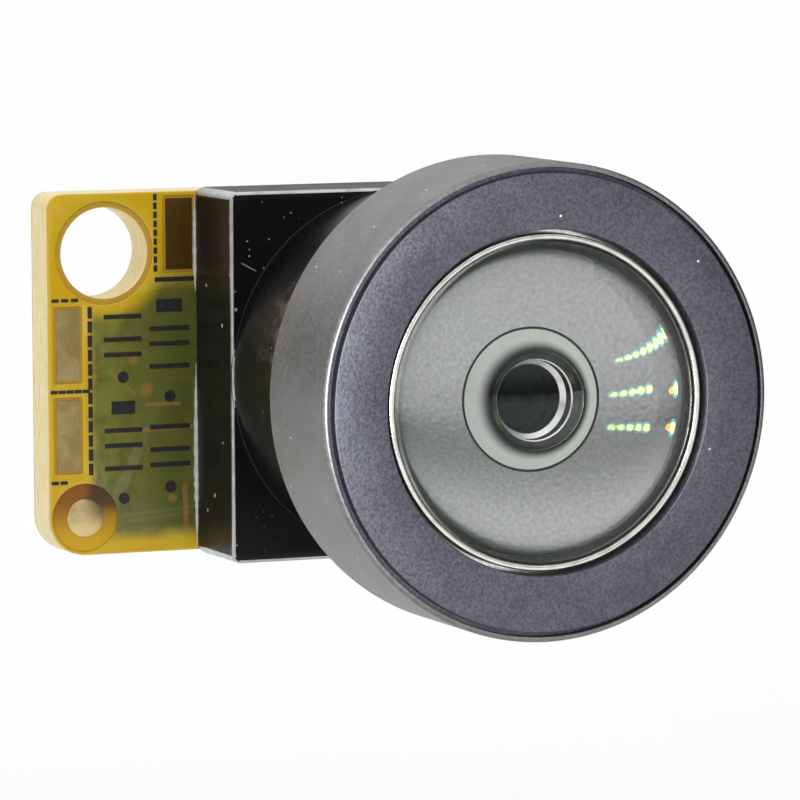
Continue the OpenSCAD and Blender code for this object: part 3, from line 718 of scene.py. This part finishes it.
boardLook = {
    "corner": 0.4, "earCorner": 0.98, "resist": 0.05, "edge": 0.03, "ringWidth": 0.15,
    "padWidth": 0.64, "padLength": 1.88, "sidePadWidth": 0.74, "padMargin": 0.07,
    "markOpening": 0.9, "pinHole": 0.33, "pinX": 4.35, "pinZ": 2.8,
}


def boardPlan():
    # the outline, the pads and the holes of the board, from the frame
    low, high = sizeOf("circuit_board")
    look = boardLook
    outline = boxLoop(low.x, high.x, low.z, high.z,
                      [look["earCorner"], look["corner"], look["corner"], look["corner"]])
    screw = mounts["mounting_hole"]
    hole = (screw["pos_m"][0] / mm, screw["pos_m"][2] / mm, screw["dims"]["r_mm"])
    padLow, padHigh = sizeOf("gold_pads")
    length = look["padLength"]
    upper = sizeOf("circuit_board")[0].x  # left edge of the board
    pads = [
        (padLow.x, padLow.x + look["padWidth"], padLow.z, padLow.z + length),
        (padLow.x, padLow.x + look["padWidth"], padLow.z + 2.38, padLow.z + 2.38 + length),
        (padHigh.x - look["sidePadWidth"], padHigh.x, padHigh.z - length, padHigh.z),
    ]
    markLow, markHigh = sizeOf("alignment_mark")
    mark = ((markLow.x + markHigh.x) / 2, (markLow.z + markHigh.z) / 2)
    return {"low": low, "high": high, "outline": outline, "hole": hole, "pads": pads, "mark": mark}


def laminateFinish():
    finish = Finish("laminateEdge")
    layers = finish.noise(5.0, detail=3.0, stretch=(0.3, 6, 0.3))
    fibres = finish.noise(9.0, detail=4.0)
    body = finish.blend(finish.remap(layers, 0.35, 0.65), (0.8, 0.66, 0.28), (0.9, 0.8, 0.5))
    body = finish.blend(finish.remap(fibres, 0.55, 0.8), body, (0.72, 0.5, 0.12))
    finish.surface(Base_Color=body, Roughness=0.5)
    finish.bump(fibres, 0.006)
    return finish.material


def recessFinish(plan):
    # bare laminate at the bottom of the openings in the resist, with painted shade round the mark
    finish = Finish("recessLaminate")
    x, z = plan["mark"]
    grain = finish.noise(6.0)
    # painted shade: round the mark the floor darkens towards the top
    shadedFloor = finish.blend(finish.remap(finish.z, z - 0.8, z + 0.6), (0.75, 0.44, 0.0), (0.3, 0.1, 0.0))
    # painted shadow: the upper right quarter round the mark is made near black
    corner = finish.product(finish.remap(finish.x, x - 0.05, x + 0.25), finish.remap(finish.z, z + 0.05, z + 0.4))
    body = finish.blend(finish.product(corner, 0.85), shadedFloor, (0.04, 0.035, 0.01))
    near = finish.disc(x, z, 1.1, 0.05)
    body = finish.blend(near, (0.62, 0.36, 0.03), body)
    finish.surface(Base_Color=body, Roughness=finish.remap(grain, 0.3, 0.7, 0.35, 0.5))
    return finish.material


copperLook = {  # copper that shows faintly through the resist: x, z, length, half width, angle
    "traces": [(-7.2, -1.55, 2.3, 0.05, 2), (-7.3, 0.1, 1.0, 0.035, -42), (-6.3, -0.85, 1.0, 0.05, 0),
               (-5.2, -3.0, 1.3, 0.07, -88)],
    "vias": [(-6.25, -0.45, 0.17), (-5.55, -3.35, 0.12), (-6.9, -3.35, 0.1), (-6.6, 0.35, 0.12)],
}


def resistFinish(plan):
    finish = Finish("boardResist")
    holeX, holeZ, holeR = plan["hole"]
    ripple = finish.noise(1.3, detail=4.0)
    edge = finish.math("MULTIPLY", finish.math("SUBTRACT", ripple, 0.5), 0.5)
    x = finish.math("ADD", finish.x, edge)
    z = finish.math("ADD", finish.z, edge)
    green = finish.product(
        finish.remap(x, -7.95, -7.6), finish.remap(z, 3.0, 2.0), finish.remap(z, -4.55, -4.0)
    )
    green = finish.product(green, finish.remap(finish.away(holeX, holeZ), holeR + 0.2, holeR + 0.75))
    olive = finish.blend(finish.remap(finish.x, -7.4, -5.0), (0.21, 0.225, 0.03), (0.085, 0.1, 0.012))
    mottled = finish.blend(finish.remap(finish.noise(2.2, detail=5.0), 0.35, 0.7), olive, (0.13, 0.14, 0.02))
    yellow = finish.blend(finish.remap(finish.noise(1.1, detail=3.0), 0.35, 0.7), (0.76, 0.46, 0.0), (0.72, 0.5, 0.015))
    body = finish.blend(green, yellow, mottled)
    copper = finish.disc(*copperLook["vias"][0], 0.05)
    for x, z, radius in copperLook["vias"][1:]:
        copper = finish.most(copper, finish.disc(x, z, radius, 0.05))
    for trace in copperLook["traces"]:
        copper = finish.most(copper, finish.streak(*trace))
    body = finish.blend(finish.product(copper, green, 0.6), body, (0.4, 0.2, 0.05))
    # near-black patch at the top edge of the resist, above the left part of the holder
    darkTopPatch = finish.product(finish.remap(finish.z, 4.6, 4.75), finish.band(finish.x, -3.9, -3.2, 0.06))
    body = finish.blend(darkTopPatch, body, (0.01, 0.01, 0.01))
    finish.surface(
        Base_Color=body, Roughness=finish.remap(ripple, 0.3, 0.7, 0.3, 0.42),
        Coat_Weight=0.35, Coat_Roughness=0.15,
    )
    finish.bump(finish.noise(4.0, detail=3.0), 0.006)
    return finish.material


def makeBoard(plan):
    low, high, look = plan["low"], plan["high"], boardLook
    hx, hz, hr = plan["hole"]
    pins = [circleLoop(look["pinHole"], side * look["pinX"], -side * look["pinZ"], 32) for side in (-1, 1)]
    bm = bmesh.new()
    plate(bm, [plan["outline"], circleLoop(hr, hx, hz)] + pins,
          low.y + look["resist"], high.y - look["resist"], 0.01)
    core = finishPiece("boardCore", bm, [laminateFinish(), recessFinish(plan)], ["circuit_board"])
    for face in core.data.polygons:
        face.material_index = 1 if face.normal.y < -0.9 else 0
    openings = []
    margin = look["padMargin"]
    for left, right, bottom, top in plan["pads"]:
        openings.append(boxLoop(left - margin, right + margin, bottom - margin, top + margin, [0.06] * 4, -1.0))
    mark = circleLoop(look["markOpening"], *plan["mark"])
    bm = bmesh.new()
    plate(bm, [plan["outline"], circleLoop(hr + look["ringWidth"], hx, hz), mark] + openings + pins,
          low.y, low.y + look["resist"], look["edge"])
    front = finishPiece("frontResist", bm, [resistFinish(plan)], ["circuit_board"])
    bm = bmesh.new()
    plate(bm, [plan["outline"], circleLoop(hr + look["ringWidth"], hx, hz)] + pins,
          high.y - look["resist"], high.y, look["edge"])
    rear = finishPiece("rearResist", bm, [rearResistFinish(plan)], ["circuit_board"])
    return core, front, rear


def rearResistFinish(plan):
    finish = Finish("rearResist")
    ripple = finish.noise(1.3, detail=4.0)
    lines = finish.math("PINGPONG", finish.math("MULTIPLY", finish.x, 1.0), 0.45)
    traces = finish.product(finish.remap(lines, 0.3, 0.36), finish.band(finish.z, -1.0, 1.2, 0.05))
    body = finish.blend(finish.remap(ripple, 0.35, 0.7), (0.11, 0.125, 0.015), (0.16, 0.17, 0.025))
    ear = finish.remap(finish.x, -6.4, -5.6, 1.0, 0.0)
    body = finish.blend(ear, body, (0.74, 0.47, 0.005))
    body = finish.blend(finish.product(traces, 0.45), body, (0.35, 0.25, 0.05))
    finish.surface(Base_Color=body, Roughness=0.36, Coat_Weight=0.35, Coat_Roughness=0.15)
    finish.bump(finish.noise(4.0, detail=3.0), 0.006)
    return finish.material


def makePads(plan):
    low, high = sizeOf("gold_pads")
    bm = bmesh.new()
    for left, right, bottom, top in plan["pads"]:
        bevelEdges(bm, block(bm, (left, low.y, bottom), (right, high.y, top)), 0.012, 2)
    finish = Finish("goldPad")
    grain = finish.noise(12.0, detail=4.0)
    cloud = finish.noise(1.6, detail=3.0)
    side = finish.remap(finish.x, -6.6, -6.2)
    pale = finish.blend(finish.remap(cloud, 0.35, 0.65), (0.43, 0.32, 0.12), (0.56, 0.44, 0.2))
    finish.surface(
        Base_Color=finish.blend(side, pale, (0.16, 0.085, 0.015)), Metallic=0.85,
        Roughness=finish.remap(grain, 0.3, 0.7, 0.35, 0.5),
    )
    finish.bump(grain, 0.008)
    pads = finishPiece("goldPads", bm, [finish.material], ["gold_pads"])
    low, high = sizeOf("alignment_mark")
    bm = bmesh.new()
    turned(bm, [(0, low.y), (high.x - plan["mark"][0], low.y), (high.x - plan["mark"][0], high.y), (0, high.y)],
           steps=72, closed=False)
    roundRims(bm, [(high.x - plan["mark"][0], low.y)], 0.015, 2)
    bmesh.ops.translate(bm, vec=(plan["mark"][0], 0, plan["mark"][1]), verts=bm.verts[:])
    material = metalFinish("goldMark", (0.8, 0.62, 0.3), 0.38, grain=12.0)
    dot = finishPiece("alignmentDot", bm, [material], ["alignment_mark"])
    return pads, dot


inkLook = {
    "thick": 0.018, "width": 0.12,
    "columns": [(-6.9, 1.05, 1.5), (-5.6, 1.12, 1.75)],  # centre, width and top of the two rows of marks
    "pitch": 0.8,
}


def makeInk(plan):
    # dashes round the pads, and plain bars and dots on the green part
    look = inkLook
    face = plan["low"].y
    bm = bmesh.new()

    def bar(left, right, bottom, top):
        bevelEdges(bm, block(bm, (left, face - look["thick"], bottom), (right, face + 0.005, top)), 0.006, 1)

    half = look["width"] / 2
    edge = plan["low"].x
    for z, left, right in ((1.97, edge + 0.1, -8.06), (-0.43, edge + 0.05, -7.81), (-2.82, edge + 0.05, -8.42)):
        steps = max(2, round((right - left) / 0.24))
        for i in range(steps):
            start = left + (right - left) * i / steps
            bar(start, start + 0.2, z - half * 0.75, z + half * 0.75)
    for i in range(12):  # dashed line beside the edge pads
        top = 1.78 - i * 0.375
        bar(-7.81 - half, -7.81 + half, top - 0.3, top)
    for i in range(9):  # dashed line beside the side pad
        top = plan["high"].z - 0.05 - i * 0.235
        bar(-5.97 - half * 0.8, -5.97 + half * 0.8, top - 0.17, top)
    bar(-5.99, -4.9, 2.38, 2.5)
    pattern = ["bar", "pair", "dot", "thick", "pair", "bar", "dot"]
    for number, (centre, width, top) in enumerate(look["columns"]):
        for i in range(7):
            kind = pattern[(i + 3 * number) % len(pattern)]
            z = top - look["pitch"] * i
            left, right = centre - width / 2, centre + width / 2
            if kind == "bar":
                bar(left, right, z - half, z + half)
            elif kind == "pair":
                bar(left, right, z + 0.2 - half, z + 0.2 + half)
                bar(left, right, z - 0.2 - half, z - 0.2 + half)
            elif kind == "thick":
                bar(left + 0.2, right - 0.2, z - 0.17, z + 0.17)
            else:
                dot = bmesh.ops.create_cone(
                    bm, cap_ends=True, segments=24, radius1=0.15, radius2=0.15, depth=look["thick"] + 0.005,
                    matrix=Matrix.Translation((centre, face - look["thick"] / 2, z)) @ Matrix.Rotation(math.pi / 2, 4, "X"),
                )
    ink = mouldedFinish("blackInk", (0.012, 0.012, 0.012), 0.45, grain=14.0)
    return finishPiece("inkMarks", bm, [ink])


def makeSideBead(plan):
    # thin bright grey bead along the line where the holder's side meets the board
    side = sizeOf("lens_holder")[0].x
    face = plan["low"].y
    random.seed(7)
    bm = bmesh.new()
    for top, bottom, size in ((4.7, 2.1, 0.075), (0.2, -4.7, 0.085)):
        count = round((top - bottom) / 0.12)
        rings = []
        for i in range(count + 1):
            z = top + (bottom - top) * i / count
            swell = size * (0.75 + 0.5 * random.random()) * min(1.0, 0.15 + 3 * i / count, 0.15 + 3 * (count - i) / count)
            corners = [bm.verts.new((side + 0.02, face + 0.02, z))]
            for k in range(6):
                angle = math.radians(90 * k / 5)
                corners.append(bm.verts.new((side - swell * math.cos(angle), face - swell * math.sin(angle), z)))
            rings.append([bm.edges.new(pair) for pair in zip(corners, corners[1:] + corners[:1])])
        for first, second in zip(rings, rings[1:]):
            bmesh.ops.bridge_loops(bm, edges=first + second)
        bmesh.ops.contextual_create(bm, geom=rings[0])
        bmesh.ops.contextual_create(bm, geom=rings[-1])
    finish = Finish("sideBead")
    finish.surface(Base_Color=(0.55, 0.55, 0.56), Roughness=0.25, Metallic=0.3)
    finish.bump(finish.noise(5.0), 0.01)
    return finishPiece("sideBead", bm, [finish.material], (), 80)


def makeConnector():
    low, high = sizeOf("connector_housing")
    wall, floor, island = 0.4, 0.25, 0.3
    bm = bmesh.new()
    middle = (low.z + high.z) / 2
    plate(bm, [boxLoop(low.x, high.x, low.z, high.z, [0.12] * 4),
               boxLoop(low.x + wall, high.x - wall, low.z + wall, high.z - wall, [0.08] * 4, -1.0)],
          low.y + 0.02, high.y, 0.04)
    bevelEdges(bm, block(bm, (low.x + 0.1, low.y, low.z + 0.1), (high.x - 0.1, low.y + floor, high.z - 0.1)), 0.02, 2)
    bevelEdges(bm, block(bm, (low.x + 2 * wall, low.y + floor - 0.05, middle - island),
                         (high.x - 2 * wall, high.y - floor, middle + island)), 0.04, 2)
    material = mouldedFinish("connectorPlastic", (0.045, 0.04, 0.035), 0.5)
    shell = finishPiece("connectorShell", bm, [material], ["connector_housing"])
    low, high = sizeOf("connector_contacts")
    count, thick = 13, 0.1
    pitch = (high.x - low.x - 0.2) / (count - 1)
    bm = bmesh.new()
    for side in (-1, 1):
        outer = high.z if side > 0 else low.z
        inner = middle + side * 0.9
        for i in range(count):
            left = low.x + pitch * i
            first, last = sorted((outer, inner - side * thick))
            bevelEdges(bm, block(bm, (left, low.y, first), (left + 0.2, low.y + thick, last)), 0.02, 2)
            first, last = sorted((inner, inner - side * thick))
            bevelEdges(bm, block(bm, (left, low.y + thick * 0.5, first), (left + 0.2, high.y, last)), 0.02, 2)
    gold = metalFinish("contactGold", (0.9, 0.68, 0.28), 0.28)
    contacts = finishPiece("contacts", bm, [gold], ["connector_contacts"])
    return shell, contacts


def makeSolder():
    # fillets where the leads and the ends of the small parts meet the board
    bm = bmesh.new()
    low, high = sizeOf("chip_caps")
    back = low.y
    count = 8
    width = 0.5
    pitch = (high.x - low.x - width) / (count - 1)
    for i in range(count):
        left = low.x + pitch * i
        for side, z in ((1, high.z), (-1, low.z)):
            wedge(bm, (left + 0.04, left + width - 0.04), back, z, side, 0.16, 0.28)
    low, high = sizeOf("connector_contacts")
    pitch = (high.x - low.x - 0.2) / 12
    for i in range(13):
        left = low.x + pitch * i
        for side, z in ((1, high.z), (-1, low.z)):
            wedge(bm, (left - 0.02, left + 0.22), back, z, side, 0.12, 0.09)
    solder = metalFinish("solder", (0.74, 0.74, 0.73), 0.22, grain=6.0)
    return finishPiece("solderFillets", bm, [solder], (), 50)


def wedge(bm, span, back, z, side, reach, height):
    # concave fillet between an upright end face and the board
    rings = []
    for x in span:
        points = [(back, z - side * 0.02), (back, z + side * reach)]
        for k in (1, 2, 3):
            angle = math.radians(30 * k)
            points.append((back + height * (1 - math.cos(angle)) + 0.004, z + side * reach * (1 - math.sin(angle))))
        points.append((back + height, z - side * 0.02))
        corners = [bm.verts.new((x, y, depth)) for y, depth in points]
        rings.append([bm.edges.new(pair) for pair in zip(corners, corners[1:] + corners[:1])])
    bmesh.ops.bridge_loops(bm, edges=rings[0] + rings[1])
    for ring in rings:
        bmesh.ops.contextual_create(bm, geom=ring)


def makeChips():
    low, high = sizeOf("chip_bodies")
    capLow, capHigh = sizeOf("chip_caps")
    count, width = 8, 0.5
    pitch = (high.x - low.x - width) / (count - 1)
    bodies, caps = bmesh.new(), bmesh.new()
    for i in range(count):
        left = low.x + pitch * i
        bevelEdges(bodies, block(bodies, (left + 0.015, low.y, low.z - 0.01), (left + width - 0.015, high.y - 0.015, high.z + 0.01)), 0.02, 2)
        for first, last in ((capLow.z, low.z), (high.z, capHigh.z)):
            bevelEdges(caps, block(caps, (left, capLow.y, first), (left + width, capHigh.y, last)), 0.05, 3)
    clay = mouldedFinish("chipCeramic", (0.36, 0.25, 0.14), 0.55)
    tin = metalFinish("chipTin", (0.78, 0.78, 0.76), 0.3)
    return (finishPiece("chipBodies", bodies, [clay], ["chip_bodies"]),
            finishPiece("chipCaps", caps, [tin], ["chip_caps"]))


def makePackages():
    low, high = sizeOf("regulator")
    bm = bmesh.new()
    bevelEdges(bm, block(bm, low, high), 0.05, 3)
    black = mouldedFinish("packagePlastic", (0.018, 0.018, 0.019), 0.45, grain=12.0)
    regulator = finishPiece("regulatorBody", bm, [black], ["regulator"])
    low, high = sizeOf("oscillator_base")
    bm = bmesh.new()
    bevelEdges(bm, block(bm, low, high), 0.04, 2)
    clay = mouldedFinish("oscillatorCeramic", (0.5, 0.42, 0.3), 0.6)
    base = finishPiece("oscillatorBase", bm, [clay], ["oscillator_base"])
    low, high = sizeOf("oscillator_lid")
    bm = bmesh.new()
    plate(bm, [boxLoop(low.x, high.x, low.z, high.z, [0.25] * 4)], low.y, high.y, 0.06)
    tin = metalFinish("oscillatorTin", (0.8, 0.79, 0.76), 0.25, grain=4.0, stretch=(8, 1, 1))
    lid = finishPiece("oscillatorLid", bm, [tin], ["oscillator_lid"])
    dressNode("regulator_lands_row", metalFinish("landTin", (0.75, 0.75, 0.73), 0.3))
    dressNode("connector_anchors", metalFinish("anchorTin", (0.75, 0.75, 0.73), 0.3))
    return regulator, base, lid


studio = {
    "azimuth": -22.139, "elevation": 5.528, "roll": -0.285,  # degrees
    "distance": 147.4, "aside": -4.004, "above": 0.249,  # millimetres from the face of the lens
    "lens": 270.0,
    "overhead": 1.15, "horizon": 0.2, "floorDrop": 9.0,
    "lampPlace": (-16, -26, 2), "lampSize": 12, "lampPower": 0.012,  # millimetres and watts
}


lampLook = {
    # rows of beads: elevation, first and last azimuth in degrees, height at both ends in millimetres
    "rows": [
        (14.5, 50, 100, 0.6, 1.5), (0.4, 43, 68, 0.8, 1.1), (-13.8, 43, 68, 0.9, 1.1),
        (-30.5, 50, 100, 0.7, 1.4), (-2.0, 93, 142, 1.2, 3.2), (-13.0, 93, 142, 1.2, 3.6),
    ],
    "ends": [(10.5, 119, 3.6), (-28.5, 114, 3.4)],  # big beads: elevation, azimuth, height
    "pitch": 6.2, "distance": 40, "length": 2.0,
    "coreGlow": 3.0, "haloGlow": 1.2, "tipGlow": 2.5,  # ten times as much at the front
    "cardAzimuth": (77.0, 149.0), "cardDistance": 62.0, "cardTop": 70.0, "cardBottom": 14.0,
}


def makeCamera():
    look = studio
    a, e, r = (math.radians(look[key]) for key in ("azimuth", "elevation", "roll"))
    back = Vector((math.sin(a) * math.cos(e), -math.cos(a) * math.cos(e), math.sin(e)))
    side = Vector((math.cos(a), math.sin(a), 0))
    up = back.cross(side)
    turnedSide = side * math.cos(r) + up * math.sin(r)
    turnedUp = up * math.cos(r) - side * math.sin(r)
    aim = Vector((look["aside"], sizeOf("trim_ring")[0].y, look["above"])) * mm
    camera = bpy.data.objects.new("camera", bpy.data.cameras.new("camera"))
    bpy.context.scene.collection.objects.link(camera)
    place = aim + back * look["distance"] * mm
    camera.matrix_world = Matrix((
        (turnedSide.x, turnedUp.x, back.x, place.x), (turnedSide.y, turnedUp.y, back.y, place.y),
        (turnedSide.z, turnedUp.z, back.z, place.z), (0, 0, 0, 1),
    ))
    camera.data.lens = look["lens"]
    camera.data.sensor_width = 36.0
    camera.data.clip_start, camera.data.clip_end = 0.005, 10.0
    bpy.context.scene.camera = camera


def makeFloor():
    low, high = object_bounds()
    bm = bmesh.new()
    bmesh.ops.create_circle(bm, cap_ends=True, segments=96, radius=1.5)
    mesh = bpy.data.meshes.new("floor")
    bm.to_mesh(mesh)
    bm.free()
    floor = bpy.data.objects.new("floor", mesh)
    floor.location.z = low.z - studio["floorDrop"] * mm
    bpy.context.scene.collection.objects.link(floor)
    finish = Finish("paleFloor")
    finish.surface(Base_Color=(0.93, 0.93, 0.93), Roughness=0.9)
    mesh.materials.append(finish.material)


def addStageMesh(name, bm, material):
    # something in the studio that only reflections show
    mesh = bpy.data.meshes.new(name)
    bm.transform(Matrix.Scale(mm, 4))
    bm.to_mesh(mesh)
    bm.free()
    mesh.materials.append(material)
    thing = bpy.data.objects.new(name, mesh)
    bpy.context.scene.collection.objects.link(thing)
    thing.visible_camera = thing.visible_diffuse = thing.visible_shadow = thing.visible_transmission = False
    return thing


def makeCard():
    # black curved card at the right
    look = lampLook
    first, last = look["cardAzimuth"]
    bm = bmesh.new()
    rows = []
    for i in range(25):
        angle = math.radians(first + (last - first) * i / 24)
        x, y = look["cardDistance"] * math.sin(angle), -look["cardDistance"] * math.cos(angle)
        rows.append([bm.verts.new((x, y, z)) for z in (-look["cardBottom"], look["cardTop"])])
    for (a, b), (c, d) in zip(rows, rows[1:]):
        bm.faces.new((a, c, d, b))
    addStageMesh("blackCard", bm, mouldedFinish("blackCard", (0.012, 0.016, 0.014), 1.0))


def makeLamps(glass):
    # rows of small lamps at the right, which show only as coloured glints on the dome
    look = lampLook
    reach = capRadius(glassLook["domeRadius"], glassLook["domeHeight"])
    centre = Vector((0, sizeOf("front_glass")[0].y + reach, 0))
    cores, halos, tips = bmesh.new(), bmesh.new(), bmesh.new()

    def bead(bm, azimuth, elevation, distance, width, height):
        a, e = math.radians(azimuth), math.radians(elevation)
        place = centre + distance * Vector((math.sin(a) * math.cos(e), -math.cos(a) * math.cos(e), math.sin(e)))
        shape = Matrix.Translation(place) @ Matrix.Rotation(a, 4, "Z")
        shape @= Matrix.Diagonal((width, height, height, 1))
        bmesh.ops.create_icosphere(bm, subdivisions=2, radius=1.0, matrix=shape)

    def pair(azimuth, elevation, width, height):
        bead(cores, azimuth, elevation, look["distance"], width, height)
        bead(halos, azimuth, elevation, look["distance"] + 5, width * 1.5, height * 1.75)

    for elevation, first, last, low, high in look["rows"]:
        count = round((last - first) / look["pitch"])
        for i in range(count + 1):
            share = i / count
            pair(first + (last - first) * share, elevation, look["length"], low + (high - low) * share)
        if first > 80:
            bead(tips, first - 5, elevation, look["distance"], look["length"], low * 0.7)
    for elevation, azimuth, height in look["ends"]:
        pair(azimuth, elevation, height * 1.6, height)
    linked = bpy.data.collections.new("glintedPieces")
    linked.objects.link(glass)
    for name, bm, colour, glow in (
        ("lampCores", cores, (0.8, 1.0, 0.36), look["coreGlow"]),
        ("lampHalos", halos, (0.03, 0.75, 0.62), look["haloGlow"]),
        ("lampTips", tips, (1.0, 0.42, 0.03), look["tipGlow"]),
    ):
        finish = Finish(name)
        far = finish.math("SQRT", finish.math("ADD", finish.product(finish.x, finish.x), finish.product(finish.y, finish.y)))
        fading = finish.remap(finish.math("DIVIDE", finish.y, far), -0.6, 0.8, glow * 10, glow)
        finish.surface(Base_Color=(0, 0, 0), Emission_Color=colour, Emission_Strength=fading)
        addStageMesh(name, bm, finish.material).light_linking.receiver_collection = linked


def makeLights(metalPieces):
    # white tent, darker round the horizon, and a small soft lamp close to the ring
    look = studio
    world = bpy.data.worlds.new("studio")
    bpy.context.scene.world = world
    world.use_nodes = True
    nodes, links = world.node_tree.nodes, world.node_tree.links
    direction = nodes.new("ShaderNodeTexCoord")
    parts = nodes.new("ShaderNodeSeparateXYZ")
    rise = nodes.new("ShaderNodeMapRange")
    rise.interpolation_type = "SMOOTHSTEP"
    links.new(direction.outputs["Generated"], parts.inputs["Vector"])
    links.new(parts.outputs["Z"], rise.inputs["Value"])
    for name, value in (("From Min", 0.0), ("From Max", 0.5), ("To Min", look["horizon"]), ("To Max", look["overhead"])):
        rise.inputs[name].default_value = value
    links.new(rise.outputs["Result"], nodes["Background"].inputs["Strength"])
    nodes["Background"].inputs["Color"].default_value = (1, 1, 1, 1)
    lamp = bpy.data.objects.new("ringLamp", bpy.data.lights.new("ringLamp", "AREA"))
    bpy.context.scene.collection.objects.link(lamp)
    lamp.data.size = look["lampSize"] * mm
    lamp.data.energy = look["lampPower"]
    lamp.location = Vector(look["lampPlace"]) * mm
    aim = Vector((0, sizeOf("trim_ring")[0].y, 0)) * mm - lamp.location
    lamp.rotation_euler = aim.to_track_quat("-Z", "Y").to_euler()
    shining = bpy.data.collections.new("metalPieces")
    for piece in metalPieces:
        shining.objects.link(piece)
    lamp.light_linking.receiver_collection = shining
    bpy.context.scene.view_settings.view_transform = "Standard"


makeCamera()
print("camera set")
metalPieces = [makeBarrel(), makeTrimRing(), makeBezel()]
frontGlass = makeFrontGlass()
makeFrontSpacer()
makeSecondLens()
dressInside()
print("lens head made")
makeHolder()
print("lens holder made")
plan = boardPlan()
makeBoard(plan)
makePads(plan)
makeInk(plan)
makeSideBead(plan)
print("circuit board made")
makeConnector()
makeChips()
makePackages()
makeSolder()
print("back of the board made")
makeFloor()
makeLights(metalPieces)
makeCard()
makeLamps(frontGlass)
print("studio set")
